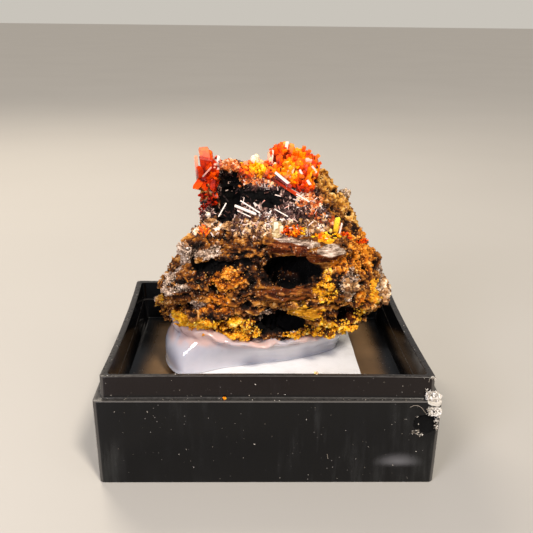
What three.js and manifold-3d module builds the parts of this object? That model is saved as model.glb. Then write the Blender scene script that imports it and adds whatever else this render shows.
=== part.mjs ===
// A mineral specimen, crocoite on limonite matrix, mounted in the black base of a thumbnail box.
// Millimetres, +Z up. The origin is the middle of the box's foot, on the table; the front faces -Y.
import * as THREE from "three";
import { mergeVertices } from "three/addons/utils/BufferGeometryUtils.js";
import { ImprovedNoise } from "three/addons/math/ImprovedNoise.js";
import Module from "manifold-3d";

const wasm = await Module();
wasm.setup();

// ---- driving dimensions ----
const BOX = 31.75; // width over the ledge: a 1 1/4 inch thumbnail box
const FOOT = 31.05; // width at the table, less by the mould's draft
const LEDGE_Z = 8.3; // height of the ledge that the lid sits on
const RIM_Z = 10.45; // top of the collar
const COLLAR = 30.5; // width over the collar
const COLLAR_WALL = 0.65;
const FLOOR_Z = 6.0; // top of the raised inner floor
const FLOOR_THICK = 1.2;
const SKIRT_WALL = 1.1;
const FLOOR_HALF = 14.2; // half width of the floor at the collar's foot
const CORNER_R = 0.8;
const WALL_BOW = 0.26; // how far each collar wall leans in at mid length
const PAD_W = 18.3;
const PAD_D = 18.4;
const PAD_THICK = 0.9;
const PAD_X = 0.55; // the pad was glued a little to the right of the middle
const PAD_TOP = FLOOR_Z + PAD_THICK;
const SEAT_GAP = 0.14; // clearance round a crystal cluster's seat in the rock
const ROCK_CLEARANCE = 1.016; // how much larger than the rock the room is that its neighbours leave it
const ROCK_CENTRE = new THREE.Vector3(0.6, 0, 17);

// ---- solids ----
const noiseField = new ImprovedNoise();

// Smooth noise from -1 to 1 at a point, with features about `scale` millimetres across.
function noise(p, scale, seed = 0) {
  return noiseField.noise(p.x / scale + 17.3 * seed, p.y / scale - 9.1 * seed, p.z / scale + 5.7 * seed);
}

function solidFrom(geometry, tolerance = 1e-5) {
  const bare = new THREE.BufferGeometry();
  bare.setAttribute("position", geometry.getAttribute("position"));
  if (geometry.index) bare.setIndex(geometry.index);
  const merged = mergeVertices(bare, tolerance);
  const vertProperties = new Float32Array(merged.attributes.position.array);
  const triVerts = new Uint32Array(merged.index.array);
  return new wasm.Manifold(new wasm.Mesh({ numProp: 3, vertProperties, triVerts }));
}

function geometryFrom(solid) {
  const mesh = solid.getMesh();
  const geometry = new THREE.BufferGeometry();
  const points = new Float32Array(mesh.numVert * 3);
  for (let i = 0; i < mesh.numVert; i++) {
    points.set(mesh.vertProperties.subarray(i * mesh.numProp, i * mesh.numProp + 3), i * 3);
  }
  geometry.setAttribute("position", new THREE.BufferAttribute(points, 3));
  geometry.setIndex(new THREE.BufferAttribute(mesh.triVerts, 1));
  return geometry;
}

function joined(solids) {
  return solids.reduce((sum, solid) => sum.add(solid));
}

// The body with the most volume: crumbs that a cut leaves loose are dropped.
function largest(solid) {
  return solid.decompose().reduce((best, body) => (body.volume() > best.volume() ? body : best));
}

// One body whose vertices lie no closer than a micrometre, so that no sliver pinches it.
function settled(solid) {
  return largest(solidFrom(geometryFrom(largest(solid)), 1e-3));
}

// The solid enlarged about a point.
function enlarged(solid, share, centre) {
  const geometry = geometryFrom(solid);
  geometry.translate(-centre.x, -centre.y, -centre.z);
  geometry.scale(share, share, share);
  geometry.translate(centre.x, centre.y, centre.z);
  return solidFrom(geometry);
}

// A closed skin through rings of equal count, from the first ring's middle to the last ring's.
function loft(rings) {
  const count = rings[0].length;
  const points = rings.flat();
  const middle = (ring) => ring.reduce((sum, p) => sum.add(p), new THREE.Vector3()).divideScalar(count);
  points.push(middle(rings[0]), middle(rings.at(-1)));
  const faces = [];
  for (let r = 0; r < rings.length - 1; r++) {
    for (let i = 0; i < count; i++) {
      const a = r * count + i;
      const b = r * count + ((i + 1) % count);
      faces.push(a, b, b + count, a, b + count, a + count);
    }
  }
  const last = (rings.length - 1) * count;
  for (let i = 0; i < count; i++) {
    const next = (i + 1) % count;
    faces.push(points.length - 2, next, i);
    faces.push(points.length - 1, last + i, last + next);
  }
  const geometry = new THREE.BufferGeometry();
  const flat = points.flatMap((p) => [p.x, p.y, p.z]);
  geometry.setAttribute("position", new THREE.Float32BufferAttribute(flat, 3));
  geometry.setIndex(faces);
  return solidFrom(geometry);
}

// A rounded square at one height, anticlockwise from above, its sides bowed inwards by `bow`.
function squareRing(half, z, radius = CORNER_R, bow = 0) {
  const ring = [];
  for (let side = 0; side < 4; side++) {
    const turn = (side * Math.PI) / 2;
    const place = (x, y) => {
      const p = new THREE.Vector2(x, y).rotateAround(new THREE.Vector2(), turn);
      ring.push(new THREE.Vector3(p.x, p.y, z));
    };
    const flat = half - radius;
    for (let i = 0; i < 4; i++) {
      const t = (i / 4) * 2 - 1;
      place(half - bow * (1 - t * t), t * flat);
    }
    for (let i = 0; i < 3; i++) {
      const a = (i / 3) * (Math.PI / 2);
      place(flat + radius * Math.cos(a), flat + radius * Math.sin(a));
    }
  }
  return ring;
}

// A direction that depends only on two whole numbers, spread evenly enough for broken faces.
function direction(i, seed) {
  const up = 2 * ((i * Math.SQRT2 + seed * 0.37) % 1) - 1;
  const around = 2 * Math.PI * ((i * Math.sqrt(3) + seed * 0.29) % 1);
  const flat = Math.sqrt(1 - up * up);
  return new THREE.Vector3(flat * Math.cos(around), flat * Math.sin(around), up);
}

// A broken boulder: a ball with flat faces struck off it, squashed to `size` (half lengths) and
// turned by `turn` degrees about X, Y, Z.
function boulder({ at, size, turn = [0, 0, 0], rough = 0.1, faces = 7, detail = 1, seed = 1 }) {
  const geometry = new THREE.IcosahedronGeometry(1.12, detail);
  const position = geometry.getAttribute("position");
  const p = new THREE.Vector3();
  for (let i = 0; i < position.count; i++) {
    p.fromBufferAttribute(position, i);
    p.multiplyScalar(1 + rough * noise(p, 0.8, seed) * 2);
    for (let k = 0; k < faces; k++) {
      const out = direction(k, seed);
      const proud = p.dot(out) - 0.8;
      if (proud > 0) p.addScaledVector(out, -0.9 * proud);
    }
    position.setXYZ(i, p.x, p.y, p.z);
  }
  geometry.scale(...size);
  const angles = turn.map(THREE.MathUtils.degToRad);
  geometry.applyMatrix4(new THREE.Matrix4().makeRotationFromEuler(new THREE.Euler(...angles)));
  geometry.translate(...at);
  return solidFrom(geometry);
}

// One crystal: a flattened four-sided prism from root to tip with a slanted end face.
// `wide` and `thick` are full sizes, and `roll` turns it about its length.
function prism([root, tip, wide, thick = wide * 0.62, roll = 0, slant = 0.25]) {
  const from = new THREE.Vector3(...root);
  const to = new THREE.Vector3(...tip);
  const axis = to.clone().sub(from).normalize();
  const long = from.distanceTo(to);
  const cone = Math.min(0.42 * wide, 0.4 * long);
  const ring = (y, share, shift) => {
    const points = [];
    for (let i = 0; i < 4; i++) {
      const a = (i * Math.PI) / 2;
      const x = (wide / 2) * Math.cos(a) * share + shift;
      const z = -(thick / 2) * Math.sin(a) * share;
      points.push(new THREE.Vector3(x, y + slant * x * (share < 1 ? 1 : 0.6), z));
    }
    return points;
  };
  const up = new THREE.Vector3(0, 1, 0);
  const matrix = new THREE.Matrix4().makeRotationFromQuaternion(
    new THREE.Quaternion().setFromUnitVectors(up, axis),
  );
  matrix.multiply(new THREE.Matrix4().makeRotationY(THREE.MathUtils.degToRad(roll)));
  matrix.setPosition(from);
  const shape = [ring(0, 1, 0), ring(long - cone, 1, 0), ring(long, 0.36, 0.12 * wide)];
  return loft(shape.map((points) => points.map((p) => p.applyMatrix4(matrix))));
}

// ---- box base ----
function trayBody() {
  const foot = FOOT / 2;
  const ledge = BOX / 2;
  const collar = COLLAR / 2;
  const inside = collar - COLLAR_WALL;
  const under = FLOOR_Z - FLOOR_THICK;
  return loft([
    squareRing(foot - SKIRT_WALL - 0.1, under, 0.6),
    squareRing(foot - SKIRT_WALL, 0, 0.6),
    squareRing(foot - 0.12, 0),
    squareRing(foot, 0.15),
    squareRing(ledge, LEDGE_Z - 0.15),
    squareRing(ledge - 0.12, LEDGE_Z),
    squareRing(collar - 0.06, LEDGE_Z, CORNER_R, WALL_BOW * 0.5),
    squareRing(collar, RIM_Z - 0.1, CORNER_R, WALL_BOW),
    squareRing(collar - 0.1, RIM_Z, CORNER_R, WALL_BOW),
    squareRing(inside + 0.1, RIM_Z, CORNER_R, WALL_BOW),
    squareRing(inside, RIM_Z - 0.1, CORNER_R, WALL_BOW),
    squareRing(FLOOR_HALF, FLOOR_Z, CORNER_R, WALL_BOW * 0.5),
  ]);
}

// The knocks at the front right corner: ledge edge, corner face and rim.
const KNOCKS = [
  { at: [15.5, -15.9, 8.35], size: [0.75, 0.55, 0.4], seed: 3 },
  { at: [14.6, -16.25, 6.1], size: [1.05, 0.75, 0.95], seed: 4 },
  { at: [15.15, -15.3, 10.55], size: [0.45, 0.35, 0.3], seed: 5 },
  { at: [13.9, -16.1, 7.7], size: [0.5, 0.4, 0.3], seed: 6 },
];

function makeTray() {
  const cuts = KNOCKS.map((knock) => boulder({ detail: 1, rough: 0.2, ...knock }));
  return trayBody().subtract(joined(cuts));
}

// ---- pad and putty ----
function makePad() {
  const geometry = new THREE.BoxGeometry(PAD_W, PAD_D, PAD_THICK);
  geometry.translate(PAD_X, 0, FLOOR_Z + PAD_THICK / 2);
  return solidFrom(geometry);
}

// The putty's foot on the pad, anticlockwise from its front left.
const PUTTY_FOOT = [
  [-8.4, -5.7], [-6.4, -5.4], [-3.7, -3.9], [0.1, -2.5], [2.3, -1.9], [4.6, -0.8], [6.9, 0.9],
  [7.7, 2.6], [7.4, 5.2], [4.6, 6.9], [0.2, 7.4], [-4.8, 6.8], [-8.2, 4.8], [-9.9, 1.4], [-9.8, -2.6],
];
// The lip where it wraps the foot of the rock, point for point.
const PUTTY_LIP = [
  [-8.3, -4.6], [-6.5, -6.0], [-3.7, -6.2], [-0.1, -5.9], [3.0, -5.0], [5.4, -3.8], [7.6, -2.2],
  [8.0, 0.9], [7.3, 4.2], [4.6, 5.6], [0.2, 6.0], [-4.6, 5.4], [-7.8, 3.8], [-9.2, 1.0], [-9.1, -2.2],
];

function puttyRing(share, swell, z) {
  const outline = (points) => new THREE.CatmullRomCurve3(
    points.map(([x, y]) => new THREE.Vector3(x, y, 0)), true,
  );
  const foot = outline(PUTTY_FOOT);
  const lip = outline(PUTTY_LIP);
  const ring = [];
  for (let i = 0; i < 22; i++) {
    const p = foot.getPoint(i / 22).lerp(lip.getPoint(i / 22), share);
    const out = new THREE.Vector3(p.x, p.y, 0).normalize();
    p.addScaledVector(out, swell + 0.12 * noise(p, 1.6, 2));
    const left = THREE.MathUtils.clamp(-p.x / 9, 0, 1);
    ring.push(new THREE.Vector3(p.x, p.y, z * (1 - 0.04 * left) + (z > 9 ? 0.55 * left : 0)));
  }
  return ring;
}

function makePutty(rockFoot) {
  const bottom = puttyRing(0, 0, PAD_TOP).map((p) => p.setZ(PAD_TOP));
  const body = loft([
    bottom,
    puttyRing(0.1, 0.35, PAD_TOP + 0.7),
    puttyRing(0.35, 0.45, PAD_TOP + 1.5),
    puttyRing(0.7, 0.35, PAD_TOP + 2.3),
    puttyRing(0.95, 0.1, PAD_TOP + 3.1),
    puttyRing(1, -0.5, PAD_TOP + 3.5),
  ]);
  return body.subtract(rockFoot);
}

// ---- matrix ----
// Level sections of the rock: height, left, right, front, back.
const SECTIONS = [
  [9.9, -6.6, 7.4, -4.2, 5.2],
  [10.4, -9.0, 9.0, -5.6, 6.6],
  [11.2, -10.4, 9.7, -6.2, 7.6],
  [12.4, -10.9, 12.0, -6.6, 8.2],
  [13.6, -10.9, 12.9, -6.9, 8.7],
  [15.4, -10.6, 12.5, -7.1, 9.0],
  [17.0, -9.9, 11.9, -7.1, 8.9],
  [18.6, -8.8, 11.0, -7.0, 8.4],
  [20.2, -7.1, 10.3, -6.8, 7.8],
  [21.4, -6.5, 9.9, -5.9, 7.2],
  [22.6, -6.2, 9.4, -4.7, 6.6],
  [23.8, -6.2, 8.5, -3.6, 5.8],
  [25.0, -6.0, 7.0, -2.6, 5.0],
  [26.0, -5.6, 5.2, -1.6, 4.2],
  [26.7, -5.0, 2.6, -0.6, 3.3],
  [27.1, -4.0, -0.6, 0.2, 2.4],
];
const HEAD_Z = 20.5; // above this the rock is a head, narrower at its front right than behind
const HEAD_PINCH = 0.3;
const AROUND = 27;
const LEVELS = 12;

function sectionAt(share) {
  const curves = [0, 1, 2, 3, 4].map(
    (k) => new THREE.CatmullRomCurve3(SECTIONS.map((s, i) => new THREE.Vector3(i, s[k], 0))),
  );
  return curves.map((curve) => curve.getPoint(share).y);
}

function rockBody() {
  const rings = [];
  for (let level = 0; level < LEVELS; level++) {
    const [z, left, right, front, back] = sectionAt(level / (LEVELS - 1));
    const ring = [];
    for (let i = 0; i < AROUND; i++) {
      const a = (i / AROUND) * 2 * Math.PI;
      const bulge = (v) => Math.sign(v) * Math.abs(v) ** 0.78;
      const x = (left + right) / 2 + ((right - left) / 2) * bulge(Math.cos(a));
      const y = (front + back) / 2 + ((back - front) / 2) * bulge(Math.sin(a));
      const p = new THREE.Vector3(x, y, z);
      const high = THREE.MathUtils.smoothstep(z, HEAD_Z, HEAD_Z + 2);
      const forward = THREE.MathUtils.smoothstep(-y, -3, 4);
      if (x > 0) p.x *= 1 - HEAD_PINCH * high * forward;
      const out = new THREE.Vector3(x - (left + right) / 2, y - (front + back) / 2, 0).normalize();
      const crag = 0.7 * noise(p, 2.6, 1) + 0.55 * noise(p, 1.2, 2) - 0.15;
      p.addScaledVector(out, crag);
      p.z += 0.3 * noise(p, 1.7, 3) * (level > 0 ? 1 : 0);
      ring.push(p);
    }
    rings.push(ring);
  }
  return loft(rings);
}

// Lumps, ledges and ridges that stand out of the body.
const LUMPS = [
  { name: "overhanging slab", detail: 2, at: [4.1, -6.7, 20.35], size: [3.9, 1.9, 0.62], turn: [8, 9, -4] },
  { name: "slab end", detail: 0, at: [6.9, -5.9, 19.9], size: [1.5, 1.6, 0.6], turn: [4, 12, 10], seed: 2 },
  { name: "slab root", detail: 0, at: [0.3, -6.0, 20.9], size: [1.4, 1.3, 0.7], turn: [0, 4, 0], seed: 3 },
  { name: "upper left block", at: [-6.4, -4.3, 19.7], size: [2.3, 2.3, 1.7], turn: [0, -10, 0], seed: 4 },
  { name: "left block", at: [-7.0, -4.9, 16.1], size: [3.1, 2.7, 2.2], turn: [0, -6, 8], seed: 5 },
  { name: "left block foot", detail: 0, at: [-5.6, -5.3, 13.1], size: [3.6, 2.0, 1.5], seed: 6 },
  { name: "ochre patch", detail: 0, at: [-4.0, -6.2, 16.9], size: [1.5, 1.2, 1.3], seed: 7 },
  { name: "left jutting lump", detail: 0, at: [-10.7, 2.6, 11.8], size: [1.3, 1.6, 0.9], seed: 8 },
  { name: "left jutting foot", detail: 0, at: [-10.0, 2.4, 10.6], size: [1.2, 1.7, 0.7], seed: 9 },
  { name: "left shoulder", at: [-9.3, -0.6, 15.6], size: [1.8, 2.8, 2.2], turn: [0, 12, 0], seed: 10 },
  { name: "right bulge", at: [11.2, 0.2, 13.7], size: [1.95, 2.6, 2.0], seed: 11 },
  { name: "right shoulder", detail: 0, at: [10.2, 0.4, 17.2], size: [1.9, 2.8, 2.0], turn: [0, 22, 0], seed: 12 },
  { name: "ochre right mass", at: [6.3, -5.6, 16.5], size: [2.4, 2.0, 2.3], seed: 13 },
  { name: "right face", at: [9.0, -3.4, 15.4], size: [1.9, 2.2, 2.0], seed: 14 },
  { name: "striated shelf", at: [1.9, -6.6, 15.6], size: [3.1, 1.4, 0.55], turn: [0, -3, 2], seed: 15 },
  { name: "low shelf", detail: 0, at: [2.8, -6.7, 14.7], size: [2.6, 1.3, 0.45], turn: [0, 4, 0], seed: 6 },
  { name: "olive blade", detail: 0, at: [3.9, -7.2, 13.7], size: [1.95, 0.75, 0.5], turn: [0, 12, -6] },
  { name: "pale block", detail: 0, at: [0.95, -5.9, 21.9], size: [0.55, 0.55, 0.9], rough: 0.05, seed: 17 },
  { name: "crest", detail: 0, at: [-1.1, 1.0, 26.3], size: [1.8, 1.3, 0.8], seed: 18 },
  { name: "ridge", detail: 0, at: [-3.4, -0.3, 26.9], size: [1.7, 1.3, 0.7], turn: [0, 6, 0], seed: 19 },
  { name: "left column top", detail: 0, at: [-5.4, -1.9, 24.6], size: [1.0, 1.2, 1.0], seed: 20 },
  { name: "left column", detail: 0, at: [-5.4, -3.0, 22.7], size: [1.2, 1.3, 1.8], seed: 21 },
  { name: "main cluster's seat", at: [3.2, 1.4, 25.6], size: [2.4, 1.9, 1.2], seed: 22 },
  { name: "tan knob", detail: 0, at: [8.6, 4.4, 23.3], size: [1.0, 1.2, 0.8], seed: 23 },
  { name: "back ledge", detail: 0, at: [-2.2, 7.9, 15.2], size: [5.2, 1.9, 0.8], turn: [0, 5, 6], seed: 25 },
  { name: "low back ledge", detail: 0, at: [3.6, 7.9, 12.9], size: [4.6, 1.6, 0.8], turn: [0, -6, -6], seed: 26 },
  { name: "back block", at: [5.6, 6.7, 18.4], size: [3.0, 2.4, 2.2], turn: [10, 12, 0], seed: 27 },
  { name: "upper back block", detail: 0, at: [-3.4, 5.6, 21.9], size: [2.6, 2.0, 2.3], turn: [14, 0, 10], seed: 28 },
  { name: "back left rib", detail: 0, at: [-7.2, 5.2, 16.0], size: [1.6, 2.1, 2.3], turn: [0, 12, 20], seed: 29 },
  { name: "back right rib", detail: 0, at: [9.6, 5.0, 13.2], size: [2.0, 2.4, 1.7], turn: [0, 0, -30], seed: 30 },
  { name: "tan shoulder", detail: 0, at: [6.0, 3.6, 24.6], size: [1.5, 1.6, 1.1], turn: [0, 30, 0], seed: 31 },
  { name: "back foot", detail: 0, at: [-4.6, 6.6, 11.0], size: [3.0, 1.7, 0.9], seed: 32 },
  { name: "right foot", detail: 0, at: [8.2, -3.7, 11.2], size: [1.6, 1.4, 0.7], seed: 24 },
];

// Cavities, slits and pockets cut into it.
const HOLLOWS = [
  { name: "slab's cave", at: [2.1, -7.0, 17.9], size: [2.9, 3.6, 1.5], seed: 31 },
  { name: "cave's left end", detail: 0, at: [-0.6, -7.4, 18.2], size: [1.2, 1.7, 0.7], seed: 32 },
  { name: "cave's right end", detail: 0, at: [4.3, -7.6, 17.6], size: [1.0, 1.6, 1.0], seed: 33 },
  { name: "lower cave", at: [1.7, -6.9, 12.3], size: [2.2, 2.6, 1.15], seed: 34 },
  { name: "right pocket", at: [8.3, -5.2, 12.85], size: [1.25, 1.7, 0.8], turn: [0, 10, 0], seed: 35 },
  { name: "deep shaft", at: [-3.7, -2.8, 25.0], size: [0.85, 1.9, 1.9], turn: [0, -8, 0], seed: 36 },
  { name: "shaft's foot", detail: 0, at: [-4.0, -3.9, 23.4], size: [0.5, 1.2, 1.0], seed: 37 },
  { name: "left slit", detail: 0, at: [-5.6, -7.0, 18.2], size: [2.3, 1.3, 0.3], turn: [0, 5, 0], seed: 8 },
  { name: "mid slit", detail: 0, at: [-1.9, -7.5, 19.0], size: [1.6, 1.3, 0.3], seed: 39 },
  { name: "slope gap", detail: 0, at: [-0.7, -3.6, 24.3], size: [1.7, 1.2, 0.4], turn: [-35, 0, 0], seed: 4 },
  { name: "slope pit", detail: 0, at: [3.1, -3.5, 23.6], size: [0.6, 0.8, 0.4], seed: 41 },
  { name: "shelf slit", detail: 0, at: [1.6, -7.6, 15.05], size: [2.6, 1.0, 0.2], seed: 42 },
  { name: "block slit", detail: 0, at: [-7.0, -7.3, 14.6], size: [1.9, 1.0, 0.25], seed: 43 },
  { name: "back vug", at: [1.2, 8.4, 17.3], size: [1.9, 2.0, 1.1], turn: [0, 10, 0], seed: 45 },
  { name: "back cleft", detail: 0, at: [-6.4, 7.4, 13.4], size: [2.2, 1.6, 0.6], turn: [0, 8, 12], seed: 46 },
  { name: "upper back pit", detail: 0, at: [1.6, 5.9, 22.8], size: [1.0, 1.2, 0.9], seed: 47 },
  { name: "left side cleft", detail: 0, at: [-10.6, -0.6, 13.4], size: [1.3, 2.3, 0.4], turn: [6, 0, 0], seed: 48 },
  { name: "right side pit", detail: 0, at: [12.2, 2.2, 15.7], size: [1.2, 1.3, 0.8], seed: 49 },
  { name: "notch by the tablet", detail: 0, at: [6.2, -4.3, 21.6], size: [0.5, 0.9, 0.5], seed: 44 },
];

// The golden fringe: small knobs that follow the rock's lower front edge.
const FRINGE_EDGE = [
  [-9.2, -3.6, 11.5], [-7.6, -5.3, 11.3], [-5.6, -6.1, 11.1], [-3.6, -6.5, 10.9], [-1.4, -6.6, 10.5],
  [0.6, -6.4, 10.5], [2.6, -6.2, 10.7], [4.6, -5.9, 10.5], [6.6, -5.1, 10.5], [8.6, -3.6, 10.7],
];
const FRINGE_KNOBS = 13;

function fringe() {
  const edge = new THREE.CatmullRomCurve3(FRINGE_EDGE.map((p) => new THREE.Vector3(...p)));
  const knobs = [];
  for (let i = 0; i < FRINGE_KNOBS; i++) {
    const at = edge.getPoint((i + 0.5) / FRINGE_KNOBS);
    const swell = 1 + 0.35 * noise(at, 0.8, 6);
    const size = [0.62 * swell, 0.6 * swell, 0.5 * swell];
    knobs.push(boulder({ at: at.toArray(), size, detail: 0, seed: i + 50 }));
  }
  return joined(knobs);
}

// Small pits and knobs scattered over the face, a golden-angle spread on the front and sides.
const SCATTER = 9;

function scattered(body) {
  const knobs = [];
  const pits = [];
  const golden = Math.PI * (3 - Math.sqrt(5));
  const ray = new THREE.Raycaster();
  const skin = new THREE.Mesh(geometryFrom(body), new THREE.MeshBasicMaterial());
  for (let i = 0; i < SCATTER; i++) {
    const up = -0.55 + (1.35 * (i + 0.5)) / SCATTER;
    const around = i * golden;
    const flat = Math.sqrt(1 - up * up);
    const out = new THREE.Vector3(flat * Math.cos(around), flat * Math.sin(around), up).normalize();
    ray.set(ROCK_CENTRE.clone().addScaledVector(out, 30), out.clone().negate());
    const hit = ray.intersectObject(skin)[0];
    if (!hit || hit.point.z < PAD_TOP + 5) continue;
    const half = 0.5 + 0.3 * noise(hit.point, 0.9, 9);
    const turn = [i * 40, i * 73, i * 29];
    const size = [half * 1.2, half, half * 0.75];
    const chip = boulder({ at: hit.point.toArray(), size, turn, detail: 0, seed: i });
    (i % 3 ? knobs : pits).push(chip);
  }
  return { knobs: joined(knobs), pits: joined(pits) };
}

function makeRock() {
  const body = joined([rockBody(), ...LUMPS.map(boulder), fringe()]);
  const { knobs, pits } = scattered(body);
  const hollows = joined(HOLLOWS.map((shape) => boulder(shape)));
  return settled(body.add(knobs).subtract(hollows).subtract(pits));
}

// ---- crystals ----
// Each crystal: root, tip, width, thickness, roll about its length in degrees, slant of the end face.
const CLUSTERS = {
  crocoite_left: {
    colour: 0xe8552a,
    seat: { at: [-5.8, -2.6, 25.6], size: [0.85, 0.7, 0.9], seed: 61 },
    prisms: [
      [[-5.4, -2.3, 25.4], [-6.2, -3.2, 28.4], 1.75, 1.1, 20, 0.2],
      [[-5.6, -2.5, 26.8], [-6.5, -3.1, 29.5], 1.0, 0.5, 10, -0.3],
      [[-5.9, -2.6, 26.6], [-6.0, -3.0, 29.1], 0.8, 0.5, -20, 0.2],
      [[-6.6, -2.6, 25.6], [-7.0, -3.2, 28.8], 0.42, 0.36, 0, 0],
      [[-6.0, -2.0, 24.4], [-6.9, -3.3, 27.0], 0.85, 0.6, 0, 0.2],
      [[-5.7, -2.9, 26.4], [-4.9, -3.5, 27.9], 0.45, 0.4, 0, 0.1],
      [[-5.2, -2.1, 26.2], [-4.8, -3.0, 28.4], 0.4, 0.36, 0, 0.1],
      [[-5.0, -2.0, 25.4], [-4.6, -3.3, 27.2], 0.7, 0.5, 40, 0.1],
    ],
  },
  crocoite_column: {
    colour: 0xf07818,
    seat: { at: [-5.6, -3.1, 24.1], size: [0.75, 0.7, 0.75], seed: 62 },
    prisms: [
      [[-5.6, -3.0, 24.3], [-4.6, -4.3, 25.0], 0.55, 0.5, 0, 0],
      [[-6.3, -3.0, 24.4], [-4.7, -4.2, 24.8], 0.6, 0.5, 0, 0.1],
      [[-5.4, -2.8, 24.2], [-6.5, -4.0, 24.6], 0.6, 0.45, 0, 0.1],
      [[-5.6, -3.0, 24.3], [-6.3, -4.1, 23.2], 0.6, 0.45, 0, 0.1],
    ],
  },
  crocoite_crest: {
    colour: 0xf5a52a,
    seat: { at: [-1.3, -0.7, 26.8], size: [1.35, 0.95, 0.7], seed: 63 },
    sprays: [
      { from: [-1.8, -0.9, 26.8], reach: [0.9, 1.0, 0.95], count: 7, wide: 0.72, seed: 2 },
      { from: [-0.8, -0.9, 26.8], reach: [0.85, 1.1, 0.95], count: 7, wide: 0.72, seed: 3 },
    ],
    prisms: [
      [[-1.1, -0.5, 26.8], [-1.15, -0.9, 28.6], 1.15, 0.8, 0, 0],
      [[0.1, -0.6, 26.4], [0.3, -0.8, 29.0], 0.36, 0.3, 0, 0.2],
      [[0.3, -0.6, 26.4], [0.65, -0.6, 28.8], 0.32, 0.28, 0, 0.2],
    ],
  },
  crocoite_main: {
    colour: 0xf08a1c,
    seat: { at: [3.0, 0.4, 26.6], size: [1.8, 1.5, 1.6], seed: 64 },
    sprays: [
      { from: [2.95, 0.3, 26.9], reach: [2.5, 2.4, 2.7], count: 17, wide: 1.5, seed: 5 },
    ],
    prisms: [
      [[4.2, 0.6, 27.0], [5.5, 0.4, 27.3], 1.0, 0.8, 0, 0.1],
      [[1.3, -0.9, 26.5], [3.2, -2.3, 24.9], 0.5, 0.45, 0, 0.1],
      [[1.0, -1.0, 26.9], [2.3, -2.0, 25.9], 0.5, 0.45, 0, 0.1],
      [[4.3, -0.3, 27.9], [5.3, -0.6, 26.8], 0.4, 0.36, 0, 0.1],
    ],
  },
  crocoite_shelf: {
    colour: 0xe98226,
    seat: { at: [2.6, -5.4, 21.7], size: [1.2, 0.75, 0.5], seed: 65 },
    prisms: [
      [[2.0, -5.4, 21.6], [1.7, -6.3, 22.3], 0.5, 0.4, 0, 0.1],
      [[2.4, -5.4, 21.6], [2.5, -6.4, 22.3], 0.55, 0.45, 0, 0.1],
      [[2.8, -5.4, 21.6], [3.3, -6.3, 22.2], 0.5, 0.4, 0, 0.1],
      [[3.0, -5.4, 21.6], [3.7, -6.2, 21.7], 0.5, 0.4, 0, 0.1],
    ],
  },
  crocoite_tablet: {
    colour: 0xf7c52e,
    seat: { at: [6.0, -4.7, 21.0], size: [1.3, 0.95, 0.6], turn: [0, -20, 0], seed: 66 },
    prisms: [
      [[6.75, -4.3, 20.9], [6.95, -5.0, 22.9], 0.9, 0.45, 0, 0.05],
      [[5.9, -4.7, 21.0], [5.4, -5.8, 21.6], 0.6, 0.5, 0, 0.1],
      [[5.8, -4.7, 20.9], [5.0, -5.9, 20.9], 0.65, 0.55, 0, 0.1],
      [[6.0, -4.7, 20.8], [5.6, -6.0, 20.5], 0.6, 0.5, 0, 0.1],
    ],
  },
  crocoite_right: {
    colour: 0xdf5a24,
    seat: { at: [8.6, -3.3, 20.5], size: [1.1, 0.7, 0.5], turn: [0, 25, 0], seed: 67 },
    prisms: [
      [[7.9, -3.4, 20.8], [7.6, -4.3, 21.1], 0.45, 0.4, 0, 0.1],
      [[8.0, -3.4, 20.8], [8.6, -4.1, 21.0], 0.45, 0.4, 0, 0.1],
      [[8.8, -3.0, 20.5], [9.3, -3.7, 20.4], 0.45, 0.4, 0, 0.1],
      [[9.0, -2.9, 20.3], [10.1, -3.0, 19.9], 0.5, 0.4, 0, 0.1],
    ],
  },
  crocoite_fan: {
    colour: 0xe0852e,
    seat: { at: [-6.2, -4.3, 20.9], size: [0.65, 0.6, 0.5], seed: 68 },
    prisms: [
      [[-6.2, -4.4, 20.9], [-6.9, -4.9, 21.5], 0.32, 0.28, 0, 0.1],
      [[-6.2, -4.4, 20.9], [-6.4, -5.0, 22.0], 0.32, 0.28, 0, 0.1],
      [[-6.2, -4.4, 20.9], [-5.9, -5.0, 21.9], 0.32, 0.28, 0, 0.1],
      [[-6.2, -4.4, 20.9], [-5.5, -5.0, 21.4], 0.32, 0.28, 0, 0.1],
    ],
  },
};

// Prisms that radiate from a seat over its upper and front side, their tips on an ellipsoid.
function spray({ from, reach, count, wide, seed = 1 }) {
  const rows = [];
  for (let i = 0; rows.length < count; i++) {
    const out = direction(i, seed);
    if (out.y > 0.55 || out.z < -0.35) continue;
    const root = new THREE.Vector3(...from);
    const long = 1 + 0.22 * noise(out, 0.45, seed);
    const tip = root.clone().add(out.clone().multiply(new THREE.Vector3(...reach)).multiplyScalar(long));
    const across = wide * (1 + 0.5 * noise(out, 0.3, seed + 4));
    rows.push([root.toArray(), tip.toArray(), across, across * 0.7, i * 47, 0.15]);
  }
  return rows;
}

// A cluster stands on its seat; its crystals keep clear of the rock beside it.
function clusterSolid({ seat, sprays = [], prisms }, aroundRock) {
  const rows = [...prisms, ...sprays.flatMap(spray)];
  return boulder(seat).add(joined(rows.map(prism)).subtract(aroundRock));
}

// The hole in the rock that a cluster's seat fills, a little larger all round.
function socket({ seat }) {
  return boulder({ ...seat, size: seat.size.map((half) => half + SEAT_GAP) });
}

// ---- assembly ----
const specimen = new THREE.Group();

function addNode(name, solid, colour, roughness) {
  const material = new THREE.MeshStandardMaterial({ color: colour, roughness, metalness: 0 });
  const mesh = new THREE.Mesh(geometryFrom(settled(solid)), material);
  mesh.name = name;
  specimen.add(mesh);
}

const clusters = Object.entries(CLUSTERS);
const rock = makeRock();
const aroundRock = enlarged(rock, ROCK_CLEARANCE, ROCK_CENTRE);

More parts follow.
